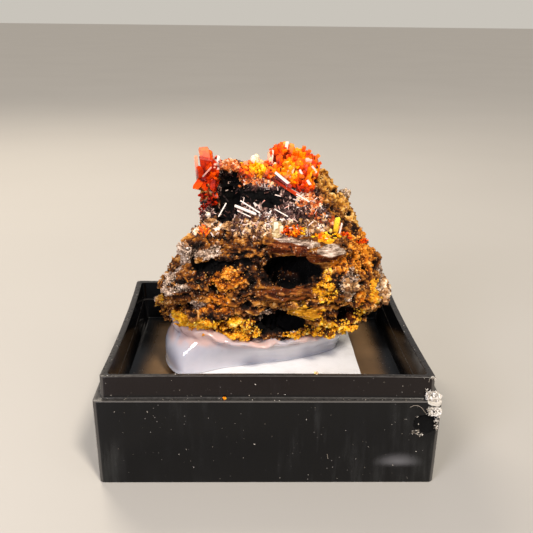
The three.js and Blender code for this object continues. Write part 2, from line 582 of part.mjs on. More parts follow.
addNode("tray", makeTray(), 0x121114, 0.28);
addNode("mount_pad", makePad(), 0xf2f0ee, 0.8);
addNode("putty", makePutty(aroundRock), 0xdad6e2, 0.35);
addNode("matrix", rock.subtract(joined(clusters.map(([, cluster]) => socket(cluster)))), 0x8a6a38, 0.85);
for (const [name, cluster] of clusters) {
  addNode(name, clusterSolid(cluster, aroundRock), cluster.colour, 0.3);
}

export default specimen;
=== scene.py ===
import math

import bmesh
import bpy
import numpy as np
from mathutils import Matrix, Vector, noise


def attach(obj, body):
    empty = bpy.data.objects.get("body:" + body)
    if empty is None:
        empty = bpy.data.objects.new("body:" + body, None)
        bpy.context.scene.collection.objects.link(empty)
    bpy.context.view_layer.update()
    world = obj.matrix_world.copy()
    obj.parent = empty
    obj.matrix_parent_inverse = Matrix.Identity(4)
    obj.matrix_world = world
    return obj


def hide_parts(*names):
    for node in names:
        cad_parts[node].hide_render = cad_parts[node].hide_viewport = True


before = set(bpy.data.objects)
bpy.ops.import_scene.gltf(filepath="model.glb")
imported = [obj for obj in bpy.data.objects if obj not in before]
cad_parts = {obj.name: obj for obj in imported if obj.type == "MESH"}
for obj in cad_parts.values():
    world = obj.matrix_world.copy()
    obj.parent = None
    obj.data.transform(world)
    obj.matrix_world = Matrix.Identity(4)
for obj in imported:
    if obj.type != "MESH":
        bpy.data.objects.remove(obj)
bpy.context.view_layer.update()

# Crocoite on a limonite matrix, seated in putty in the black base of a thumbnail box.
# Shapes are worked out in millimetres in the solids' own frame, and each finished mesh is put into
# metres. The front faces -Y.
MM = 0.001
SEED = 20
FOOT, BOX, COLLAR = 31.05, 31.75, 30.5  # sides of the box base at its foot, its ledge and its collar


# ---- node trees ----
def joined(operation, swapped=False):
    """A method of Wire that joins it to another wire or a number by one Math node."""

    def method(self, other):
        return self.maths(operation, *((other, self) if swapped else (self, other)))

    return method


class Wire:
    """One output of a node. Arithmetic on it adds Math nodes to the same tree."""

    def __init__(self, bench, socket):
        self.bench = bench
        self.socket = socket

    def out(self, name):
        """Another output of the same node."""
        return Wire(self.bench, self.socket.node.outputs[name])

    def maths(self, operation, *terms):
        return self.bench.node("ShaderNodeMath", {"operation": operation}, dict(enumerate(terms)))

    def size(self):
        return self.maths("ABSOLUTE", self)

    __add__ = __radd__ = joined("ADD")
    __mul__ = __rmul__ = joined("MULTIPLY")
    __sub__, __rsub__ = joined("SUBTRACT"), joined("SUBTRACT", swapped=True)
    __pow__ = joined("POWER")
    most, least = joined("MAXIMUM"), joined("MINIMUM")

    def between(self, low, high):
        """Rises smoothly from 0 at low to 1 at high, or falls where low is the larger."""
        settings = {"interpolation_type": "SMOOTHSTEP"}
        values = {"Value": self, "From Min": low, "From Max": high}
        return self.bench.node("ShaderNodeMapRange", settings, values)


class Bench:
    """A node tree, one method that adds a node to it, and short forms of it for what is used often."""

    def __init__(self, tree):
        self.tree = tree

    def node(self, kind, settings=None, values=None, output=0):
        made = self.tree.nodes.new(kind)
        for name, value in (settings or {}).items():
            setattr(made, name, value)
        for key, value in (values or {}).items():
            if isinstance(value, Wire):
                self.tree.links.new(value.socket, made.inputs[key])
            else:
                made.inputs[key].default_value = value
        return Wire(self, made.outputs[output]) if len(made.outputs) else None

    def place(self, scale=(1, 1, 1), turn=(0, 0, 0)):
        """Millimetres on the piece, stretched and turned."""
        where = self.node("ShaderNodeTexCoord", output="Object")
        size = tuple(s / MM for s in scale)
        values = {"Vector": where, "Scale": size, "Rotation": tuple(map(math.radians, turn))}
        return self.node("ShaderNodeMapping", {"vector_type": "POINT"}, values)

    def cloud(self, where, size, detail=4.0, rough=0.6):
        """Noise from 0 to 1 with features about `size` millimetres across."""
        values = {"Vector": where, "Scale": 1 / size, "Detail": detail, "Roughness": rough}
        return self.node("ShaderNodeTexNoise", {}, values, "Fac")

    def cells(self, where, size, feature="F1"):
        values = {"Vector": where, "Scale": 1 / size}
        return self.node("ShaderNodeTexVoronoi", {"feature": feature}, values, "Distance")

    def ramp(self, factor, stops):
        """Colours along a factor, written as `place #rrggbb, place #rrggbb`."""
        made = self.node("ShaderNodeValToRGB", {}, {"Fac": factor})
        ramp = made.socket.node.color_ramp
        while len(ramp.elements) > 1:
            ramp.elements.remove(ramp.elements[0])
        for i, (position, code) in enumerate(part.split() for part in stops.split(", ")):
            stop = ramp.elements[0] if i == 0 else ramp.elements.new(float(position))
            stop.position, stop.color = float(position), paint(code)
        return made

    def blend(self, first, second, factor):
        settings = {"data_type": "RGBA", "clamp_factor": True}
        return self.node("ShaderNodeMix", settings, {0: factor, 6: first, 7: second}, 2)

    def coated(self, colour, *coats):
        """A colour with others laid over it one after the other, each given as (#rrggbb, how much)."""
        for code, factor in coats:
            colour = self.blend(colour, paint(code), factor)
        return colour

    def vector(self, operation, *terms, output="Vector"):
        settings = {"operation": operation}
        return self.node("ShaderNodeVectorMath", settings, dict(enumerate(terms)), output)

    def away(self, where, middle, half=(1, 1, 1)):
        """How far a place is from the middle of an ellipsoid, where 1 is on its skin."""
        reach = self.vector("DIVIDE", self.vector("SUBTRACT", where, middle), half)
        return self.vector("LENGTH", reach, output="Value")

    def own(self, name, output="Fac"):
        """A value stored on the piece's mesh."""
        return self.node("ShaderNodeAttribute", {"attribute_name": name}, {}, output)

    def split(self, name):
        """The three values of a colour stored on the piece's mesh."""
        parts = self.node("ShaderNodeSeparateColor", {}, {"Color": self.own(name, "Color")})
        return parts.out("Red"), parts.out("Green"), parts.out("Blue")

    def relief(self, height, depth, strength):
        """A bump of `depth` millimetres."""
        values = {"Height": height, "Distance": depth * MM, "Strength": strength}
        return self.node("ShaderNodeBump", {}, values)


def paint(code):
    """A colour written as #rrggbb, in the linear light that shaders take."""
    parts = [int(code[i : i + 2], 16) / 255 for i in (1, 3, 5)]
    return (*(p / 12.92 if p < 0.0405 else ((p + 0.055) / 1.055) ** 2.4 for p in parts), 1.0)


def surface(name, recipe):
    """A material whose recipe gives the values and wires of its one shader."""
    material = bpy.data.materials.new(name)
    material.use_nodes = True
    material.node_tree.nodes.clear()
    bench = Bench(material.node_tree)
    shader = bench.node("ShaderNodeBsdfPrincipled", {}, recipe(bench))
    bench.node("ShaderNodeOutputMaterial", {}, {"Surface": shader})
    return material


# ---- meshes ----
def linked(name, data):
    """A new object in the scene."""
    made = bpy.data.objects.new(name, data)
    bpy.context.scene.collection.objects.link(made)
    return made


def mesh_from(work, name):
    """The mesh made of a bmesh, which is freed."""
    mesh = bpy.data.meshes.new(name)
    work.to_mesh(mesh)
    work.free()
    return mesh


def piece(name, points, faces, material):
    """A mesh object at the origin, its points given in millimetres."""
    mesh = bpy.data.meshes.new(name)
    mesh.from_pydata((np.asarray(points) * MM).tolist(), [], faces)
    mesh.update()
    return shown(name, mesh, material)


def shown(name, mesh, material, smooth=False):
    """A mesh as an object with one material, and both with one name."""
    made = linked(name, mesh)
    mesh.name = name
    mesh.materials.clear()
    mesh.materials.append(material)
    mesh.polygons.foreach_set("use_smooth", [smooth] * len(mesh.polygons))
    return made


def store(mesh, name, values):
    """Keeps one number, or three as a colour, for each point of a mesh."""
    values = np.asarray(values, dtype=np.float32)
    if values.ndim == 1:
        mesh.attributes.new(name, "FLOAT", "POINT").data.foreach_set("value", values)
        return
    rgba = np.ones((len(values), 4), dtype=np.float32)
    rgba[:, : values.shape[1]] = values
    mesh.attributes.new(name, "FLOAT_COLOR", "POINT").data.foreach_set("color", rgba.ravel())


def points_of(mesh, name="co"):
    """The places of a mesh's points, or their normals, as rows."""
    rows = np.empty(len(mesh.vertices) * 3)
    mesh.vertices.foreach_get(name, rows)
    return rows.reshape(-1, 3)


def put_points(mesh, points):
    mesh.vertices.foreach_set("co", np.asarray(points, dtype=np.float32).ravel())
    mesh.update()


def evaluated(source):
    """The mesh of an object after its modifiers."""
    graph = bpy.context.evaluated_depsgraph_get()
    return bpy.data.meshes.new_from_object(source.evaluated_get(graph))


def finished(source, *modifiers):
    """The mesh of an object after modifiers given as (kind, settings); the object is removed."""
    for kind, settings in modifiers:
        added = source.modifiers.new(kind, kind)
        for name, value in settings.items():
            setattr(added, name, value)
    mesh = evaluated(source)
    bpy.data.objects.remove(source)
    return mesh


def outward(mesh, merge=False):
    """Turns every face outwards, after merging the points that share a place if asked."""
    work = bmesh.new()
    work.from_mesh(mesh)
    if merge:
        bmesh.ops.remove_doubles(work, verts=work.verts, dist=1e-7)
    bmesh.ops.recalc_face_normals(work, faces=work.faces)
    work.to_mesh(mesh)
    work.free()


def tube(rings, count):
    """Faces through rings of `count` points, with one face over each end."""
    faces = []
    for ring in range(rings - 1):
        for i in range(count):
            a, b = ring * count + i, ring * count + (i + 1) % count
            faces.append([a, b, b + count, a + count])
    return faces + [list(range(count))[::-1], list(range((rings - 1) * count, rings * count))]


def step(low, high, values):
    """Rises smoothly from 0 at low to 1 at high, or falls where low is the larger."""
    share = np.clip((np.asarray(values) - low) / (high - low), 0, 1)
    return share * share * (3 - 2 * share)


def sampled(points, size, kernel, seed=0):
    """A noise function at each point, with features about `size` (one number or three) across."""
    rows = points / np.asarray(size, dtype=float) + np.array([17.3, -9.1, 5.7]) * (seed + 1)
    return np.array([kernel(Vector(row)) for row in rows.tolist()])


def swirl(points, size, seed=0):
    """Smooth noise from -1 to 1."""
    return sampled(points, size, noise.noise, seed)


def rugged(points, size, seed=0, octaves=4):
    """Noise of several sizes, from about -1 to 1."""
    return sampled(points, size, lambda p: noise.fractal(p, 0.7, 2.1, octaves), seed)


def walls(points, size, seed=0):
    """0 inside a cell, 1 on the thin walls between cells."""

    def kernel(p):
        near = noise.voronoi(p)[0]
        return near[1] - near[0]

    return 1 - step(0.0, 0.35, sampled(points, size, kernel, seed))


def knobs(points, size, seed=0):
    """1 at the middle of a cell, falling to 0 at its edge."""
    return 1 - np.clip(sampled(points, size, lambda p: noise.voronoi(p)[0][0], seed), 0, 1)


def blobs(points, table, soft=0.28):
    """The strength of the ellipsoids that a point lies in, 0 outside them all."""
    best = np.zeros(len(points))
    for *place, strength in table:
        far = np.linalg.norm((points - place[:3]) / place[3:], axis=1)
        best = np.maximum(best, strength * step(1 + soft, 1 - soft, far))
    return best


def dressed(made, slot, *nodes):
    """Fixes a piece to the body and hides the solids it stands for. The slot is not used."""
    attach(made, "root")
    if nodes:
        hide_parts(*nodes)
    return made


# ---- the rock: limonite ----
VOXEL = 0.15  # size of a facet of the rock's skin

# Tables of ellipsoids: the middle and the half lengths of each, then what the table says. These ones fill
# the sockets under the crystals.
SEATS = [
    (-5.8, -2.6, 25.6, 1, 0.85, 1.05), (-5.6, -3.1, 24.1, 0.9, 0.85, 0.9),
    (-1.3, -0.7, 26.7, 1.45, 1.05, 0.75), (3, 0.4, 26.4, 1.9, 1.6, 1.7), (2.6, -5.2, 21.6, 1.35, 0.9, 0.65),
    (6, -4.5, 20.9, 1.4, 1.05, 0.7), (8.6, -3.1, 20.4, 1.2, 0.8, 0.6), (-6.2, -4.2, 20.8, 0.8, 0.75, 0.65),
]

# Plates of harder rock, each the hull of its corners.
PLATES = [
    # the overhanging slab, which dips to the right
    [
        (0.5, -6.9, 21.35), (2.2, -7.9, 21.3), (4.2, -8.4, 21.05), (6.2, -8.1, 20.55), (7.7, -7.3, 19.95),
        (0.7, -6.9, 21.05), (2.4, -7.8, 20.85), (4.4, -8.3, 20.5), (6.3, -8, 19.85), (7.55, -7.2, 19.2),
        (0.9, -5, 21.5), (7.2, -5, 20.6), (7, -5, 19.6), (1.2, -5, 20.9),
    ],
    # the rusty face below it
    [
        (0.7, -6.3, 21), (2.6, -7, 20.7), (5, -7.2, 20.1), (7, -6.7, 19.4),
        (1.3, -5.9, 20.1), (3.4, -6.4, 19.5), (5.6, -6.5, 18.9), (6.9, -6.2, 18.5),
        (1, -3, 20.9), (7, -3, 19.6), (6.6, -3, 18.8), (1.8, -3, 20.3),
    ],
    # the olive blade over the lower cave
    [
        (2, -7.3, 14.55), (3.4, -7.9, 14.3), (5.6, -7.4, 13.5), (2.4, -7.2, 14.3),
        (3.6, -7.8, 13.7), (5.5, -7.3, 13.1), (2.2, -5, 14.6), (5.4, -5, 13.6), (3.6, -5, 13.3),
    ],
    # the shoulder of tan rock behind the main head
    [
        (5.4, 3.4, 26.4), (6.3, 3.4, 26.3), (7.2, 3.6, 25), (5.2, 4.6, 26), (6.6, 4.8, 25.6),
        (5.4, 3.2, 24.6), (7.2, 3.4, 24.2), (5.6, 4.8, 24.4), (7, 4.8, 24.2),
    ],
    # the pale block on the slope's lower edge
    [
        (0.45, -5.9, 22.75), (1.3, -6, 22.7), (0.5, -6.2, 21.3), (1.35, -6.3, 21.2),
        (0.55, -5, 22.8), (1.35, -5.1, 22.75), (0.5, -5, 21.2), (1.4, -5, 21.2),
    ],
]

# Where each mineral shows, and how strongly.
GOLD = [
    (-7.2, -5, 11.9, 2.9, 2.8, 1.4, 1.15), (-3.2, -6.4, 11.5, 2.7, 2.2, 1.4, 1.1),
    (6.6, -5, 11.4, 2.9, 2.6, 1.4, 1), (3.6, -6.2, 10.8, 2, 1.8, 0.7, 0.9),
    (5.7, -6.4, 16.2, 1.15, 2, 1.9, 0.55), (10.6, -2.6, 14.9, 1.6, 2.6, 1.3, 0.85),
    (5.5, -5.8, 20.6, 0.9, 1.3, 0.7, 1), (3.9, -7.2, 13.7, 2.1, 1.2, 0.8, 0.9),
    (-11.2, 2.2, 11.4, 1.6, 2.2, 1.3, 0.42), (-2, 8, 11.6, 6.5, 2.2, 1.3, 0.8),
    (9, 5.5, 12.4, 2.6, 2.6, 1.4, 0.7), (9.5, -4, 12.8, 0.45, 2, 1.1, 0.95),
]
OCHRE = [
    (-4, -6.6, 17, 2, 2.2, 1.4, 0.64), (-5.3, -6, 14.4, 2.2, 1.8, 1.2, 0.6),
    (9.4, -2.6, 18.9, 2.4, 3.2, 2.2, 1), (8.9, -3.6, 14.6, 2.4, 2.2, 1.3, 0.8),
    (7, -5.4, 18.6, 1.4, 1.6, 1.6, 0.9), (-6.4, -4.6, 20.6, 2.4, 2, 0.8, 0.35),
    (5.4, 7.4, 17, 4, 2.6, 3.4, 0.8), (-7, 5.4, 19, 3, 3, 3, 0.7),
]
GREY = [
    (-8, -3.6, 19.2, 1.6, 2.6, 1.3, 1), (-8.7, -4, 16.2, 2.5, 2.8, 1.7, 1.1),
    (-7, -5.6, 14.8, 1.1, 1.4, 0.9, 0.9), (-8.2, -4.2, 16.5, 1.9, 3.6, 0.75, 1),
    (7.7, -5, 16.5, 1.25, 2.6, 1.6, 1.2), (-6.2, -5, 19.6, 2.2, 2, 0.9, 0.75),
    (12.6, -0.6, 15, 1.4, 2.8, 2.1, 1), (-0.4, -7, 13.2, 1.1, 1.2, 0.6, 0.8),
    (3.4, -6.6, 11.3, 1.1, 1.2, 0.4, 0.7), (-12, 2.9, 11.7, 0.8, 1.5, 1, 0.8),
    (9, 4.6, 23.6, 1.2, 1.4, 1, 0.9), (-3.6, 7.6, 15.4, 3.4, 2, 1.5, 0.7),
]
PLUM = [
    (0.4, -4.4, 23.2, 6.9, 3.6, 2.6, 1), (0, -2, 25.4, 6.4, 2.4, 2, 1), (-6.3, -3.6, 22.2, 1.6, 1.6, 1.8, 1),
    (-3.4, 0.6, 26.9, 2.6, 1.6, 1.2, 0.7),
]
TAN = [
    (8.2, 3.6, 22.6, 3, 4.2, 4.2, 1), (6.2, 2.6, 25.4, 2.2, 2.6, 2, 1), (2, 4.6, 25, 4.6, 2.6, 2.4, 0.8),
]
# The caves and voids: the skin sinks there, and the finish paints them near black, partly the dark iron oxide
# of their walls and partly painted shade.
VOIDS_WITH_PAINTED_SHADE = [
    (2.3, -6.4, 17.95, 2.8, 3.4, 1.55, 1), (-1.4, -6.6, 18.7, 2.2, 2, 0.26, 0.85),
    (1.6, -6.2, 12.3, 2.5, 2.4, 1.15, 1), (8, -5, 13.25, 1.4, 2.1, 0.9, 0.95),
    (-3.6, -2.4, 25.2, 1.5, 2.6, 2.3, 1), (-4.1, -3.8, 23.4, 1.15, 1.6, 1.4, 1),
    (-5.6, -6, 18.2, 2.2, 2, 0.3, 0.8), (-7.3, -5.8, 17, 1, 1.5, 0.8, 0.7),
    (-2.6, -6.8, 19.6, 1.2, 1.4, 0.35, 0.6), (-1.2, -3.4, 24.9, 3, 1.4, 0.55, 0.7),
    (-4.6, -6.2, 12.9, 1.5, 1.4, 0.45, 0.7), (1.2, 8, 17.3, 2, 1.6, 1.2, 0.9),
    (-0.7, -3.7, 24.3, 2.4, 1.6, 0.62, 1), (8.6, 1.4, 22.2, 0.4, 2.2, 0.34, 0.9),
    (7.5, 1.6, 24.3, 0.3, 2.2, 0.5, 0.6), (-8.4, -5, 17, 1.7, 1.6, 0.3, 0.75),
    (-9.7, -1.6, 12.2, 0.45, 2, 1, 1),
]
RUST = [
    (2.3, -7, 20.4, 2.2, 1.8, 0.85, 1.1), (5, -7.4, 19.6, 2.2, 1.8, 0.95, 1.1),
    (8, -4.6, 13, 1.6, 2.2, 1.2, 1.1), (-1.4, -6.9, 12.3, 1.3, 1.3, 0.8, 0.7),
    (-6.4, -5.8, 17.4, 1.3, 1.5, 0.7, 0.6), (2.1, -7, 15.8, 3.2, 1.8, 0.75, 0.52),
]
# The weathered skin of the overhanging slab.
SLAB = [
    (1.7, -7.4, 21.42, 1.6, 1.6, 0.36, 1), (4, -8.3, 21.2, 1.9, 1.6, 0.4, 1),
    (6.3, -7.9, 20.35, 1.8, 1.6, 0.56, 1),
]
# Where the skin draws back, by so many millimetres.
DRAWN = [
    (-10.4, -1.5, 17.9, 1.8, 4, 1.6, 0.65), (-11.7, -0.5, 16, 1.5, 3.4, 1.1, 0.6),
    (11.9, 0, 11.7, 1.9, 3.4, 1.1, 1.1), (-10, -1.6, 11.2, 1, 2.4, 0.8, 0.7),
    (10.2, 3.4, 22.9, 1.1, 2.4, 1.2, 0.8),
]
# Where the skin is tucked back behind the putty's lip, by so many millimetres.
TUCKED = [
    (-6.6, -6, 9.7, 2.9, 3.2, 1.45, 3), (-8.6, -4.6, 9.9, 1.6, 2.6, 1.3, 2),
]
# Where the rock shows its thin beds.
STRATA = [
    (2.1, -7, 15.8, 3.4, 2, 0.8, 1.25), (-8.2, -4.4, 17.4, 2.4, 2.6, 0.8, 0.8),
    (-4.4, -6.2, 14.2, 2.2, 1.6, 0.5, 0.7), (-3.2, -6.6, 20, 2.4, 1.6, 0.6, 0.7),
    (6, -6, 13.9, 2.4, 1.8, 0.4, 0.6), (0, 8, 14.4, 6, 2.2, 0.8, 0.7), (10, 4, 15.6, 3, 5, 0.7, 0.6),
]
OLIVE = [
    (3.8, -7.4, 13.9, 2.1, 1.1, 0.55, 1), (3.2, -7.4, 14.9, 0.7, 0.8, 0.3, 0.8),
]
CREAM = [
    (0.95, -6.1, 22, 0.75, 0.9, 1, 1), (-2.6, -5, 22, 3.4, 1.2, 0.6, 0.55),
    (12.7, -0.8, 14.2, 1, 2.6, 1.7, 0.8), (7.8, -5.3, 16.4, 1, 2.4, 1.3, 0.8),
    (9.4, 4.2, 23.7, 1.1, 1.8, 1, 0.75),
]

# Faces that stay smooth: the overhanging slab, the olive blade and the pale block.
CALM = [
    (2.4, -7, 20.9, 2.4, 1.5, 0.9, 1), (5.4, -7.2, 20.1, 2.6, 1.6, 1.1, 1), (3.9, -7.4, 13.9, 2.1, 1, 0.7, 1),
    (0.95, -6.1, 22, 0.75, 0.9, 0.95, 1), (3, -6.8, 19.9, 2.5, 1.2, 0.9, 0.9),
    (5.4, -6.8, 19.1, 2.1, 1.2, 0.9, 0.9),
]
# The ridge between the left column and the crest, and other places with small orange crystals.
RIDGE = [
    (0, -2, 26, 3, 1.5, 0.5, 0.55), (-3.6, -0.8, 27.3, 1.7, 1.6, 0.55, 1),
    (-1.4, -1.4, 26.4, 2.2, 0.9, 0.5, 0.9), (4.6, -2.9, 24.3, 1.6, 1.3, 1, 0.6),
    (5.2, -4, 22.8, 1.2, 1.2, 1, 0.4), (6.8, -3.4, 21.9, 0.8, 1, 0.8, 0.6), (3, 3.2, 26.4, 2.6, 1.6, 1, 0.8),
]


def rock_skin():
    """The rock's solid with its sockets filled, as one even skin in millimetres."""
    work = bmesh.new()
    work.from_mesh(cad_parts["matrix"].data)
    bmesh.ops.scale(work, vec=(1 / MM,) * 3, verts=work.verts)
    bmesh.ops.remove_doubles(work, verts=work.verts, dist=0.002)
    for seat in SEATS:
        place = Matrix.LocRotScale(Vector(seat[:3]), None, Vector(seat[3:]))
        bmesh.ops.create_icosphere(work, subdivisions=3, radius=1.0, matrix=place)
    for corners in PLATES:
        bmesh.ops.convex_hull(work, input=[work.verts.new(corner) for corner in corners])
    rough = linked("rock", mesh_from(work, "rock"))
    return finished(rough, ("REMESH", {"mode": "VOXEL", "voxel_size": VOXEL}))


def bedded(points):
    """Coordinates along the rock's bedding, which dips a little to the right and sags at the left."""
    x, y, z = points.T
    sag = 0.10 * x + 0.012 * np.clip(-x, 0, 20) ** 2 - 0.05 * y
    wander = 0.5 * swirl(points, 3.4, 3)
    return np.column_stack([x, y, z + sag + wander])


# The height of the rock's lower front edge, where it leaves the putty.
EDGE_X = (-12, -9.1, -6.2, -5.2, -4.0, -2.5, -0.5, 1.5, 3.0, 3.6, 6.0, 9.0, 9.8, 13)
EDGE_Z = (11.6, 11.7, 11.8, 11.2, 10.4, 10.15, 10.8, 10.4, 10.1, 10.7, 10.8, 11.1, 11.7, 11.8)


def under_edge(points, low=0.1, high=-0.5):
    """1 below the rock's lower front edge, 0 above it and at the back."""
    edge = np.interp(points[:, 0], EDGE_X, EDGE_Z) + 0.25 * swirl(points, 1.2, 31)
    front = step(2.0, -1.0, points[:, 1]) * step(10.5, 9.0, np.abs(points[:, 0]))
    return step(low, high, points[:, 2] - edge) * front


def rock_relief(points, minerals, calm, strata):
    """How far each point of the skin moves along its normal, in millimetres."""
    gold, _, grey, plum, tan, black = minerals
    beds = bedded(points)
    layers = rugged(beds, (2.0, 2.0, 0.6), 4, 4)
    splits = np.abs(swirl(beds, (3.2, 3.2, 0.75), 5))
    boxwork = walls(points, (0.95, 0.95, 0.75), 6)
    small_boxes = walls(points, (0.5, 0.5, 0.42), 7)
    vugs = step(0.22, 0.5, swirl(points, (1.15, 1.15, 0.8), 8))
    pits = step(0.12, 0.45, swirl(points, 0.6, 9))
    crumbs = knobs(points, 0.38, 10)
    grit = rugged(points, 0.3, 11, 2)
    front = step(3.0, -2.0, points[:, 1]) * step(22.0, 20.0, points[:, 2])
    quiet = np.clip(1 - 0.5 * tan - 0.45 * plum, 0.1, 1)
    height = 0.34 * layers * (0.5 + 0.5 * front) * quiet
    height -= 0.22 * (1 - step(0.0, 0.1, splits)) * quiet
    height += (0.3 * boxwork + 0.2 * small_boxes - 0.2) * quiet * (1 - 0.5 * grey)
    height -= 0.75 * vugs * quiet * (0.5 + 0.5 * front)
    height -= 0.3 * pits * (0.4 + 0.6 * quiet)
    height += 0.2 * (crumbs - 0.5) * (0.6 + 0.4 * np.maximum(grey, gold))
    height += 0.12 * grit
    leaves = np.sin(beds[:, 2] * 12.5 + 1.6 * swirl(points, 1.4, 13))
    leaves *= step(-0.5, 0.2, swirl(points, 1.0, 14))
    height += strata * (0.2 * leaves + 0.06 * grit - 0.75 * height)
    height *= 1 - 0.85 * calm
    height += calm * (0.08 * swirl(beds, (2.5, 2.5, 0.16), 12) + 0.03 * grit)
    return height - 0.7 * black * (1 - calm)


def store_growth(mesh, points, minerals, calm, strata, cream):
    """Where each kind of chip grows, as one number a point."""
    gold, ochre, grey, plum, _, black = minerals
    open_rock = (1 - step(0.15, 0.6, black)) * (1 - calm) * (1 - under_edge(points, -0.05, -0.6))
    above_putty = step(9.8, 10.2, points[:, 2])
    patchy = step(-0.25, 0.25, swirl(points, 0.9, 21))
    ridge = blobs(points, RIDGE)
    dusted = open_rock * above_putty * (0.12 + 0.88 * step(-0.1, 0.3, swirl(points, 0.55, 22)))
    dusted = dusted * (1 - 0.75 * strata) * (1 - 0.8 * step(0.4, 0.8, grey))
    store(mesh, "on_gold", step(0.35, 0.7, gold) * dusted)
    store(mesh, "on_ochre", step(0.35, 0.7, ochre) * dusted)
    store(mesh, "on_grey", step(0.35, 0.7, grey) * (1 - 0.95 * black) * (1 - 0.92 * calm) * above_putty)
    bare = 1 - np.max([gold, ochre, grey, plum], axis=0)
    store(mesh, "on_brown", step(0.2, 0.6, bare) * dusted * (0.2 + 0.8 * patchy))
    void = step(0.12, 0.5, black)
    slope = step(0.4, 0.8, plum) * (1 - 0.97 * void) * (1 - step(0.3, 0.7, ridge)) * (1 - calm)
    low = step(23.0, 21.5, points[:, 2])
    tufts = step(-0.15, 0.22, swirl(points, 0.6, 23))
    store(mesh, "on_slope", slope * (0.1 + 0.9 * patchy) * (0.1 + 0.9 * tufts))
    pale = 0.3 * step(0.3, 0.6, cream) * step(19.0, 18.0, points[:, 2])
    store(mesh, "on_low_slope", np.maximum(slope * low, pale) * (0.2 + 0.8 * tufts))
    store(mesh, "on_ridge", ridge)


def make_rock(material):
    """The rock with its minerals, holes and beds, and with what its looks and its chips read from it."""
    mesh = rock_skin()
    points = points_of(mesh)
    normals = points_of(mesh, "normal")
    bent = points + 0.55 * np.column_stack([swirl(points, 1.3, seed) for seed in range(3)])
    minerals = [blobs(bent, table) for table in (GOLD, OCHRE, GREY, PLUM, TAN, VOIDS_WITH_PAINTED_SHADE)]
    near = points + 0.3 * (bent - points)
    slab = blobs(near, SLAB, 0.15)
    minerals[2] = np.maximum(minerals[2], slab)
    calm = blobs(points, CALM, 0.2)
    strata = blobs(near, STRATA, 0.4) * (1 - calm)
    height = rock_relief(points, minerals, calm, strata)
    drawn = 0.9 * under_edge(points) + blobs(points, DRAWN)
    moved = points + normals * np.clip(height - drawn, -1.5, 0.5)[:, None]
    moved[:, 1] += blobs(points, TUCKED)
    store(mesh, "stone_a", np.column_stack(minerals[:3]))
    store(mesh, "stone_b", np.column_stack(minerals[3:]))
    rust, olive, cream = (blobs(near, table, 0.2) for table in (RUST, OLIVE, CREAM))
    store(mesh, "stone_c", np.column_stack([rust * (1 - slab), olive, cream]))
    # How high each point stands; the finish colours the low places darker, as painted shade.
    store(mesh, "high", step(-0.7, 0.5, height + 0.9 * strata * (height - 0.1)))
    store(mesh, "calm", np.maximum(calm, 0.7 * np.minimum(strata, 1)))
    store_growth(mesh, points, minerals, calm, strata, cream)
    put_points(mesh, moved * MM)
    return shown("limonite_matrix", mesh, material, True)


def limonite(bench):
    at = bench.place()
    gold, ochre, grey = bench.split("stone_a")
    plum, tan, black = bench.split("stone_b")
    rust, olive, cream = bench.split("stone_c")
    high = bench.own("high")
    grain = bench.cloud(at, 0.45, 6, 0.72)
    broad = bench.cloud(bench.place((1, 1, 2.2)), 1.9, 4, 0.6)
    specks = bench.cells(at, 0.24)
    lines = bench.cloud(bench.place((0.4, 0.4, 3.6), (0, 7, 0)), 0.6, 4, 0.7)
    calm = bench.own("calm")
    # The tone falls where the skin lies low (high): painted shade in its hollows and pits, mixed with the
    # grain's own mottling.
    broken, bedding = high * 0.8 + grain * 0.85 + broad * 0.4 - 0.64, lines * 1.5 + grain * 0.5 - 0.4
    light = (broken * (1 - calm) + bedding * calm).between(0, 1)
    torn = (grain - 0.5) * 0.9 + (broad - 0.5) * 0.5

    brown = "0 #0c0603, 0.3 #301608, 0.55 #733e12, 0.78 #bb7a2c, 1 #eec080"
    tones = [
        (tan, "0 #241204, 0.26 #955a18, 0.5 #dc9c3c, 0.8 #f6cc80, 1 #fff0d4"),
        (ochre, "0 #140803, 0.27 #5a2706, 0.54 #b25f0c, 0.8 #e08b1e, 1 #fac66a"),
        (gold, "0 #2c1403, 0.2 #9a5204, 0.42 #e8980c, 0.7 #ffc022, 1 #ffe890"),
        (grey, "0 #0e0a09, 0.34 #453528, 0.62 #a08672, 0.84 #dac4b0, 1 #fff4ea"),
        (plum, "0 #070405, 0.4 #231416, 0.7 #5a403d, 0.9 #a0847c, 1 #dcc6bc"),
        (rust, "0 #0c0302, 0.36 #381206, 0.68 #6e300e, 0.92 #ac642e, 1 #e0b27a"),
        (olive, "0 #2a1a04, 0.35 #7e5206, 0.7 #b3760c, 0.9 #d89c2c, 1 #f4d27c"),
        (cream, "0 #3c2a16, 0.35 #93784c, 0.7 #d2b684, 0.9 #efdcb2, 1 #fff6e0"),
    ]
    colour = bench.ramp(light, brown)
    for mask, stops in tones:
        colour = bench.blend(colour, bench.ramp(light, stops), (mask + torn).between(0.38, 0.6))
    # Painted shade, partly dark oxide: the caves, the fine holes and the pits are coloured near black.
    holes = bench.cells(at, 0.5).between(0.2, 0.08) * grain.between(0.52, 0.4)
    dark = (black * 1.2 + torn * 0.5).between(0.35, 0.72) * 0.98 * (1 - rust * 0.7)
    dark = dark.most(holes * 0.8)
    # Painted glints: fine pale specks on the rock stand in for sparkling highlights.
    painted_glint = specks.between(0.3, 0.12) * grain.between(0.48, 0.62) * (1 - dark)
    colour = bench.coated(colour, ("#020101", dark), ("#fff0d2", painted_glint * 0.7))
    fine = grain * 0.6 + bench.cloud(at, 0.13, 3.0, 0.7) * 0.4
    return {
        "Base Color": colour,
        "Roughness": 0.84 - painted_glint * 0.5 - plum * 0.15 + dark * 0.14,
        "Specular IOR Level": 0.16,
        "Normal": bench.relief(fine, 0.16, 0.75),
    }


# ---- crystals: crocoite ----
TOP_Z = 29.66  # no crystal rises past this
INNER = BOX / 2 - 0.003  # and none reaches out past this
SLOPE_Y = -28.05  # y less z on the slope


